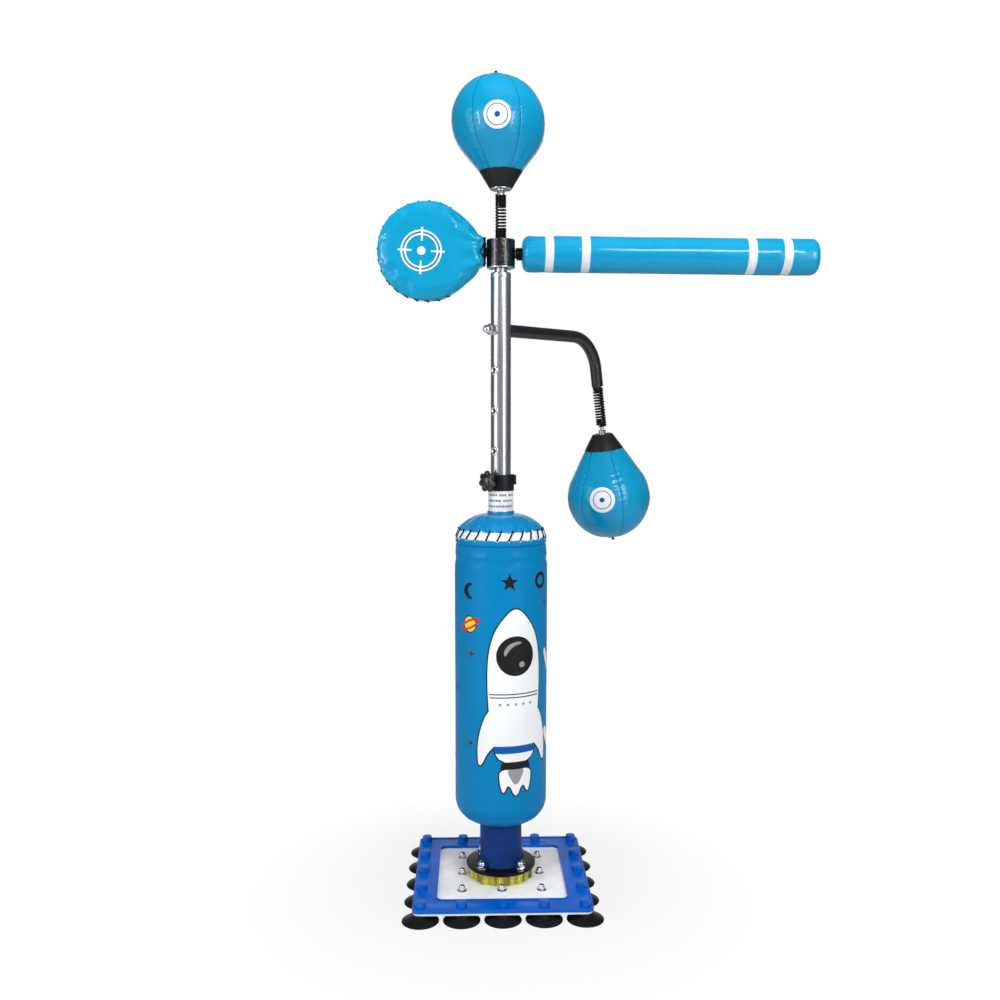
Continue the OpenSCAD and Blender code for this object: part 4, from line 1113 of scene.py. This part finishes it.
held_spots = [rim_point(a, 1) for a in STITCH_ANGLES]
pins = []
for v in paddle.data.vertices:
    p = v.co / MM
    near = min((p - spot).length for spot in held_spots)
    if p.x > NECK_X - 4 or near < 5:
        pins.append((v.index, 1.0))
    elif near < 9:
        pins.append((v.index, 0.4))
stuff(paddle, pins, pressure=4.5, shrink=-0.02, cap=3.0, bending=0.4)
for v in paddle.data.vertices:
    p = v.co / MM
    if p.x >= NECK_X - 2.5:
        continue
    neck = max(0.0, min(1.0, (p.x + 92) / 55))
    face = 1.0 if abs(p.y) > PAD_HALF - 8 else 0.12
    spread = atan2(p.z - PADDLE_Z, NECK_X + 45 - p.x)
    rim = hypot(p.x - PAD_X, p.z - PADDLE_Z)
    around = atan2(p.z - PADDLE_Z, p.x - PAD_X)
    shift = 1.7 * neck * cos(17 * spread + 2.5 * wobble(p, 0.03, 6)) * face
    if abs(p.y) > PAD_HALF - 14:
        gather = exp(-((PAD_R - 14 - rim) / 9) ** 2) * (1 - neck)
        shift += 0.7 * gather * wobble((90 * cos(around), 0, 90 * sin(around)), 0.09, 41)
    shift += (wobble(p, 0.02, 2) + 0.25 * wobble(p, 0.06, 7)) * max(face, 0.4)
    if rim > PAD_R - 12:
        shift -= 0.9 * exp(-((PAD_HALF - 3.2 - abs(p.y)) / 1.6) ** 2)
    v.co += v.normal * shift * MM
paddle_tree = cushion(paddle, "paddle_cover")

smaller = [(PAD_X + (x - PAD_X) * 0.88, z * 0.88) for x, z in outline]
stand_for(build("paddle_filling", slab(smaller, PAD_HALF - 6), MAT["foam"], at_paddle), "paddle_foam")

whips = []
for a in STITCH_ANGLES:
    path = []
    for k in range(-3, 4):
        b = a + 0.012 * k
        inward = Vector((-cos(b), 0, -sin(b)))
        hit, _, _, _ = paddle_tree.ray_cast(rim_point(b, -60, 4.9 * k) * MM, inward)
        if hit is not None:
            path.append(hit / MM - inward * (1.2 if abs(k) < 3 else 0.0))
    if len(path) > 3:
        whips.append(sweep(path, 1.15, 8))
attach(build("paddle_whip_stitches", join(whips), MAT["cord"]), "paddle")

mouth = []
for a in (TAU * i / 96 for i in range(96)):
    c, s = cos(a), sin(a)
    x = NECK_X - 0.4 + 1.8 * abs(c) ** 1.5 + 0.3 * cos(9 * a)
    mouth.append((x, 20.5 * copysign(abs(c) ** 0.7, c), PADDLE_Z + 25.0 * copysign(abs(s) ** 0.8, s)))
loop = [(x, y, PADDLE_Z + z) for x, y, z in (
    (-29.2, -20.8, 14), (-30.5, -22.0, 12.2), (-34.5, -25.6, 5), (-37.6, -26.6, -2.5),
    (-37.4, -26.6, -5.5), (-34, -25.6, -9.5), (-30.3, -22.0, -13.6), (-29.0, -20.6, -15))]
bead = revolve([(0, -2.3), (1.7, -1.6), (2.3, 0), (1.7, 1.6), (0, 2.3)], 12)
ends = [moved(bead, Matrix.Translation((-29.6, -16.5, PADDLE_Z + z))) for z in (22.5, -23)]
cord = join([sweep(mouth, 1.9, 10, closed=True), sweep(smooth_line(loop), 1.3, 8)] + ends)
stand_for(build("paddle_lacing_look", cord, MAT["cord"]), "paddle_lacing")


def pad_ray(u, v):
    return Vector((u, -0.2, v)), Vector((0, 1, 0))


TARGET_X, TARGET_Z, TARGET_TURN = -146.2, PADDLE_Z - 2, -3.0
tick = [(18, -1.6), (42.7, -1.6), (42.7, 1.6), (18, 1.6)]
target = [
    ("ring_outer", 0.3, "print_white", [circle(37.8, 72), circle(34.8, 72)]),
    ("ring_middle", 0.2, "bag", [circle(35.2, 72), circle(30.8, 72)]),
    ("ring_inner", 0.3, "print_white", [circle(31.2, 64), circle(28.2, 64)]),
    ("dot", 0.3, "print_white", [circle(7.5, 40)])]
target += [("tick_%d" % k, 0.38, "print_white", [at(tick, turn=90 * k)]) for k in range(4)]
for name, lift, mat, loops in target:
    placed = [at(loop, TARGET_X, TARGET_Z, TARGET_TURN) for loop in loops]
    attach(decal("target_" + name, placed, pad_ray, paddle_tree, MAT[mat], lift), "paddle")


# ------------------------------------------------------------------ the bar

BAR_0, BAR_1 = low("bar_cover").x + 1.5, high("bar_cover").x
BAR_R = high("bar_cover").y
MOUTH_ROUND, END_ROUND = 15.0, 12.0
STRIPES = [
    (BAR_0 + 42.3, BAR_0 + 57.9), (BAR_0 + 109.7, BAR_0 + 125.3),
    (BAR_1 - 135.5, BAR_1 - 119.7), (BAR_1 - 69.5, BAR_1 - 53.6)]


def droop(x):
    """How far the bar hangs below level, as its spring gives."""
    return 0.0068 * max(0.0, x - 60)


def bar_profile():
    """(r, x) rows from the gathered mouth to the far pole."""
    def corner(angles, radius, x):
        return [(BAR_R - radius + radius * cos(a), x + radius * sin(a)) for a in angles]

    marks = [BAR_0 + MOUTH_ROUND] + [m for s in STRIPES for m in s] + [BAR_1 - END_ROUND]
    out = [(13.6, BAR_0 + 7), (13.8, BAR_0 + 3), (15.2, BAR_0 + 1), (18, BAR_0 + 0.2)]
    out += corner(steps(-pi / 2, 0, 0.28), MOUTH_ROUND, marks[0])
    out += [(BAR_R, x) for a, b in zip(marks, marks[1:]) for x in steps(a, b, 4.8)[1:]]
    out += corner(steps(0, pi / 2, 0.28)[1:], END_ROUND, marks[-1])
    return out + [(r, BAR_1 + 0.2) for r in (14, 9, 4.5, 0)]


outer_rows = bar_profile()
BAR_SEG = 48
inner_rows = [(0, BAR_1 - 5), (15, BAR_1 - 5), (BAR_R - 6, BAR_1 - 12), (BAR_R - 5, BAR_1 - 30)]
inner_rows += [(BAR_R - 5, x) for x in (450, 320, 200, 90)] + [(BAR_R - 6, BAR_0 + 12), (18, BAR_0 + 6)]
part = revolve(outer_rows + inner_rows, BAR_SEG, closed=True)
bar = build("bar_cover_look", part, MAT["deep_cyan"], ALONG_BAR)
outer_count = BAR_SEG * (len(outer_rows) - 1) + 1
pins = []
for v in bar.data.vertices:
    x = v.co.x / MM
    if v.index >= outer_count or x < BAR_0 + 1.5 or x > BAR_1 - 6:
        pins.append((v.index, 1.0))
    elif x < BAR_0 + 12 or x > BAR_1 - 12:
        pins.append((v.index, 0.5))
stuff(bar, pins, pressure=4, shrink=-0.01, cap=0.5, bending=0.5)
for v in bar.data.vertices[:outer_count]:
    p = v.co / MM
    y, z = p.y, p.z - BAR_Z
    r, a = hypot(y, z), atan2(z, y)
    if r <= 14:
        continue
    shift = 0.7 * wobble((p.x * 0.35, y, z), 0.025, 4)
    if r > 14.5:
        near = max(0.0, 1 - (p.x - BAR_0) / 26)
        far = max(0.0, 1 - (BAR_1 - p.x) / 22)
        shift += 1.3 * near * cos(15 * a + wobble(p, 0.05, 2)) + 0.7 * far * cos(17 * a + wobble(p, 0.05, 8))
    if any(min(abs(p.x - m) for m in s) < 1.5 for s in STRIPES):
        shift -= 0.35
    from_seam = remainder(a + pi / 2, TAU) * BAR_R
    shift -= 1.2 * exp(-(from_seam / 2.2) ** 2)
    v.co.y, v.co.z = y * (1 + shift / r) * MM, (BAR_Z + z * (1 + shift / r)) * MM
bar.data.materials.append(MAT["stripe_white"])
for f in bar.data.polygons:
    x = f.center.x / MM
    if any(a < x < b for a, b in STRIPES) and hypot(f.center.y / MM, f.center.z / MM - BAR_Z) > BAR_R - 3.5:
        f.material_index = 1
for v in bar.data.vertices:
    x = v.co.x / MM
    skew = (0.018 + 0.025 * (x - 80) / 450) * max(0.0, min(1.0, (BAR_1 - 8 - x) / 30, (x - BAR_0 - 20) / 20))
    v.co.x += skew * (v.co.z - BAR_Z * MM)
    v.co.z -= droop(x) * MM
bar_tree = cushion(bar, "bar_cover")

core = high("bar_core").y + 0.2
filling = soften([
    (core, BAR_0 + 22), (BAR_R - 12, BAR_0 + 14), (BAR_R - 6.5, BAR_0 + 24), (BAR_R - 6.5, BAR_1 - 22),
    (BAR_R - 14, BAR_1 - 8), (core, BAR_1 - 8)], 4, closed=True)
filling = build("bar_filling", revolve(filling, 48, closed=True), MAT["foam"], ALONG_BAR)
for v in filling.data.vertices:
    v.co.z -= droop(v.co.x / MM) * MM
stand_for(filling, "bar_foam")

spots = []
for x in steps(BAR_0 + 18, BAR_1 - 18, 5):
    for side in (-1, 1):
        a = -pi / 2 + side * 3.2 / BAR_R
        out = Vector((0, cos(a), sin(a)))
        hit, normal, _, _ = bar_tree.ray_cast(Vector((x, 0, BAR_Z)) * MM + out * 0.2, -out)
        spots.append((hit + normal * 0.08 * MM, Vector((1, 0, 0)), normal))
stitches("bar_stitches", spots, MAT["seam_thread"], "bar")
tie = [spoke(a) * (13.9 + 0.5 * cos(15 * a)) + up(BAR_0 + 1.2) for a in (TAU * i / 120 for i in range(120))]
attach(build("bar_mouth_tie", sweep(tie, 1.1, 8, closed=True), MAT["cord"], ALONG_BAR), "bar")


# ------------------------------------------------------------------ base, cups and shock absorber

PLATE_Z = low("base_plate").z
PLATE = high("base_plate").z - PLATE_Z
PITCH = 74.5
CUP_R = high("suction_cups_outer").x - 2 * PITCH
cup = revolve(soften([
    (0, 4.6), (7, 4.4), (19, 2.8), (CUP_R - 4, 0.05), (CUP_R - 0.6, 0), (CUP_R, 0.5), (CUP_R - 0.5, 1.5),
    (27, 4.3), (19, 7.4), (13.5, 10.2), (12.4, 11.4), (13.2, 12.0), (13.2, 13.0), (11.2, 13.4),
    (10.6, PLATE_Z), (0, PLATE_Z)], 0.8), 56)
button = revolve(soften([
    (0, 0), (6, 0), (6, PLATE), (7.8, PLATE), (5, PLATE + 3.6), (0, PLATE + 3.8)], 0.5), 32)
cups = {"suction_cups_outer": [], "suction_cups_inner": []}
for i in range(-2, 3):
    for j in range(-2, 3):
        place = Vector((PITCH * i, PITCH * j, 0))
        if 2 in (abs(i), abs(j)):
            cups["suction_cups_outer"] += [
                moved(cup, Matrix.Translation(place)), moved(button, Matrix.Translation(place + up(PLATE_Z)))]
        elif i or j:
            cups["suction_cups_inner"].append(moved(cup, Matrix.Translation(place)))
for node, parts in cups.items():
    stand_for(build(node + "_look", join(parts), MAT["rubber"], sharp=60), node)

FOOT_Z, HEAD_Z = low("shock_absorber").z, high("shock_absorber").z
MID_Z = (FOOT_Z + HEAD_Z) / 2
cuts = [z * MM for z in steps(FOOT_Z, HEAD_Z, 1.75)[1:-1]]
lower = bevelled("shock_absorber", MAT["polyurethane"], 1.1, cuts)
upper = lower.copy()
upper.data = lower.data.copy()
bpy.context.scene.collection.objects.link(upper)
for obj, name, side, bodies, ends in (
        (lower, "absorber_lower", 1, ("base", "absorber"), (FOOT_Z, MID_Z)),
        (upper, "absorber_upper", -1, ("absorber", "column"), (MID_Z, HEAD_Z))):
    with editing(obj.data) as bm:
        bmesh.ops.bisect_plane(
            bm, geom=everything(bm), plane_co=up(MID_Z * MM), plane_no=(0, 0, side), clear_outer=True)
    obj.name = name
    bend(obj, "shock_absorber", bodies, *(up(z) for z in ends))


# ------------------------------------------------------------------ the star knob

KNOB_LOBES, KNOB_R = 7, 20.2


def knob_dent(r, a):
    """How far the valleys between the lobes lie inside the knob's circle."""
    return 4.0 * (0.5 - 0.5 * cos(KNOB_LOBES * a)) ** 1.5 * min(1, max(0, (r - 12.8) / 5))


knob_rows = soften([
    (0, 28.4), (9.4, 28.6), (12.4, 31.4), (18.6, 32.8), (KNOB_R, 34.4), (KNOB_R, 38.6), (18.2, 40.6),
    (14.4, 41.0), (12.7, 41.0), (12.2, 42.6), (10.4, 44.4), (7.4, 45.7), (3.8, 46.4), (0, 46.6)], 0.8)
knob = revolve(knob_rows, KNOB_LOBES * 14, dent=knob_dent)
shaft = revolve(soften([(0, 19.8), (3.2, 19.8), (3.95, 20.6), (3.95, 30), (0, 30)], 0.4), 24)
knob_frame = frame_at(up(JOINT_AT["knob_turn"].z), KNOB_SIDE, UP)
knob = build("star_knob_look", join([knob, shaft]), MAT["black_plastic"], knob_frame, sharp=50)
stand_for(knob, "star_knob")


# ------------------------------------------------------------------ the label and its rows of grey blocks

label = stand_for(bevelled("label_band", MAT["label"], 0.15), "label_band")
for v in label.data.vertices:
    v.co.x, v.co.y = v.co.x * 1.04, v.co.y * 1.04
label_tree = tree_of(label)
label_ray = round_ray(high("label_band").x)
for k, z in enumerate((759.5, 749, 738.5)):
    blocks, u = [], -27.0
    while u < 24:
        width = 3.2 + 1.6 * wobble((u * 9, z, 0), 0.5, 3)
        blocks.append([(u, z + 2), (u + width, z + 2), (u + width, z - 2), (u, z - 2)])
        u += width + 1.3 + (3.0 if wobble((u, z, 5), 0.3, 6) > 0.45 else 0)
    shape = decal("label_row_%d" % k, blocks, label_ray, label_tree, MAT["label_grey"], 0.2)
    attach(shape, "column")


# ------------------------------------------------------------------ raised lips round the mast's free holes

LIP = [
    (9.4, -0.5), (9.2, 0.0), (8.0, 0.4), (6.9, 1.1), (5.9, 1.35), (5.2, 1.0), (4.7, 0.0), (4.2, -2.5),
    (4.5, -2.7), (5.0, -1.0)]
LIP_SEG = 32


def lip(height):
    """A ring on the mast's surface; LIP gives its section as (distance from the hole's middle, rise)."""
    verts, facing = [], atan2(KNOB_SIDE.y, KNOB_SIDE.x)
    for reach, rise in LIP:
        for u, v in circle(reach, LIP_SEG):
            verts.append(spoke(facing + u / MAST_R) * (MAST_R + rise) + up(height + v))
    return verts, ring_faces(len(LIP), LIP_SEG, True)


free_holes = [m["pos_m"][2] / MM for m in frame["record"]["mounts"] if m["name"].startswith("accessory_hole")]
lips = build("hole_lips", join([lip(z) for z in free_holes]), MAT["chrome"], sharp=60)
attach(lips, "mast")


# ------------------------------------------------------------------ hard parts from the CAD, edges rounded

bolt = stand_for(bevelled("arm_bolt", MAT["chrome"], 0.6), "arm_bolt")
BOLT_SEAT = high("mast_tube").x + 2.2
bolt_z = (low("arm_bolt").z + high("arm_bolt").z) / 2
for v in bolt.data.vertices:
    along = v.co.dot(KNOB_SIDE) / MM
    if along > BOLT_SEAT:
        side = v.co / MM - KNOB_SIDE * along - up(bolt_z)
        v.co = (KNOB_SIDE * (BOLT_SEAT + (along - BOLT_SEAT) * 1.3) + up(bolt_z) + side * 1.12) * MM


def wider(obj, share):
    """Widens each loose piece of an object about its own upright axis."""
    with editing(obj.data) as bm:
        left = set(bm.verts)
        while left:
            island, queue = [], [left.pop()]
            while queue:
                v = queue.pop()
                island.append(v)
                fresh = left.intersection(e.other_vert(v) for e in v.link_edges)
                left -= fresh
                queue += fresh
            x, y = ((min(v.co[i] for v in island) + max(v.co[i] for v in island)) / 2 for i in (0, 1))
            for v in island:
                v.co.x, v.co.y = x + (v.co.x - x) * share, y + (v.co.y - y) * share


ROUNDED = {
    "rubber": {"center_foot": 0.8, "clamp_collar": 0.8},
    "white_paint": {"base_plate": 1.0},
    "blue_plastic": {"stud_frame": 0.9},
    "navy_plastic": {"column_sleeve": 0.8},
    "black_plastic": {"collar_screw": 0.3, "mast_end_plug": 0.5, "hub_lid": 0.4},
    "disc_paint": {"flange_disc": 0.8},
    "hub_paint": {"hub_housing": 0.9},
    "black_paint": {"arm_tube": 0.6},
    "tube": {"fixed_tube": 0.4, "mast_tube": 0.45},
    "zinc": {
        "cup_bolts": 0.25, "mast_cap_spindle": 0.5, "spindle_nut": 0.4, "hub_cover_plate": 0.3,
        "hub_cover_screws": 0.2},
    "chrome": {"cup_washers": 0.3, "cup_cap_nuts": 0.5, "flange_washers": 0.35, "flange_cap_nuts": 0.55},
}
for mat, widths in ROUNDED.items():
    for node, width in widths.items():
        obj = stand_for(bevelled(node, MAT[mat], width), node)
        if mat == "chrome":
            wider(obj, 1.18)

PLAIN = {
    "brass": ("absorber_base_inserts", "absorber_top_inserts"), "grey_plastic": ("bag_core_tube",),
    "zinc": ("absorber_base_screws", "flange_studs", "bar_core"), "wood": ("paddle_board",),
    "chrome": ("bearing_inner_races", "bearing_outer_races", "bearing_balls")}
for mat, nodes in PLAIN.items():
    for node in nodes:
        frame["nodes"][node].data.materials.clear()
        frame["nodes"][node].data.materials.append(MAT[mat])


# ------------------------------------------------------------------ room, light and camera

scene = bpy.context.scene
floor_mesh = bpy.data.meshes.new("floor")
with editing(floor_mesh) as bm:
    bmesh.ops.create_grid(bm, x_segments=1, y_segments=1, size=14)
floor = bpy.data.objects.new("floor", floor_mesh)
scene.collection.objects.link(floor)
s = Shader("pale_floor")
s.set(Base_Color=s.ramp(s.noise(1.5, 2), (0.66, 0.66, 0.665), (0.68, 0.68, 0.68)))
s.set(Roughness=0.8, Specular_IOR_Level=0.1)
whiter = s.ramp(s.node("VectorMath", {0: s.coords}, operation="LENGTH")["Value"], 0.78, 1.0, 0.22, 0.5)
seen = s.node("LightPath")["Is Camera Ray"]
share = s.node("Math", {0: whiter, 1: seen}, operation="MULTIPLY")[0]
glow = s.node("Emission")[0]
surface = s.node("MixShader", {0: share, 1: s.bsdf.outputs[0], 2: glow})[0]
s.put(s.tree.nodes["Material Output"].inputs[0], surface)
floor_mesh.materials.append(s.mat)

# The camera sees white; the pieces mirror a room that is lit in front, dark at the sides and white behind
world = bpy.data.worlds.new("studio")
scene.world = world
world.use_nodes = True
w = Nodes(world.node_tree)
w.put(w.tree.nodes["Background"].inputs["Color"], (1.0, 1.0, 1.0))
view = w.node("TexCoord")["Generated"]
depth = w.node("MapRange", {"Value": w.node("SeparateXYZ", {0: view})["Y"], "From Min": -1})["Result"]
tones = w.node("ValToRGB", {"Fac": depth})["Color"]
ramp = tones.node.color_ramp
MARKS = ((0.0, 0.36), (0.3, 0.3), (0.5, 0.12), (0.93, 0.14), (0.98, 0.9))
while len(ramp.elements) < len(MARKS):
    ramp.elements.new(0.5)
for element, (position, tone) in zip(ramp.elements, MARKS):
    element.position = position
    element.color = (tone, tone, tone * 1.03, 1)
room = w.node("Background", {"Color": tones})[0]
white = w.tree.nodes["Background"].outputs[0]
backdrop = w.node("MixShader", {0: w.node("LightPath")["Is Camera Ray"], 1: room, 2: white})[0]
w.put(w.tree.nodes["World Output"].inputs[0], backdrop)


def area_light(name, location, target, width, height, radiance, mirrored=True):
    data = bpy.data.lights.new(name, "AREA")
    data.shape = "RECTANGLE"
    data.size, data.size_y, data.energy = width, height, radiance * pi * width * height
    obj = bpy.data.objects.new(name, data)
    obj.location = location
    obj.rotation_euler = (Vector(target) - Vector(location)).to_track_quat("-Z", "Y").to_euler()
    obj.visible_glossy = mirrored
    scene.collection.objects.link(obj)


area_light("box_left", (-2.25, -1.35, 1.1), (0, 0, 0.8), 2.2, 2.0, 1.6)
area_light("strip_left", (-2.0, -1.5, 1.5), (0, 0, 1.1), 0.25, 1.3, 13.0)
area_light("box_right", (1.6, -2.05, 1.1), (0, 0, 0.8), 0.9, 2.0, 1.8)
area_light("strip_right", (1.5, -1.95, 1.5), (0, 0, 1.1), 0.25, 1.3, 10.0)
area_light("box_front", (0.95, -2.4, 2.4), (0.2, 0, 1.2), 0.8, 0.5, 19.0)
area_light("box_top", (0.2, -0.5, 3.3), (0, 0, 0.8), 2.0, 1.8, 4.8, mirrored=False)

data = bpy.data.cameras.new("camera")
data.lens, data.sensor_width = 37.8, 36
camera = bpy.data.objects.new("camera", data)
camera.location = (-0.0537, -1.979, 0.904)
camera.rotation_euler = (radians(85.52), 0, radians(-1.51))
scene.collection.objects.link(camera)
scene.camera = camera
scene.view_settings.view_transform = "Standard"
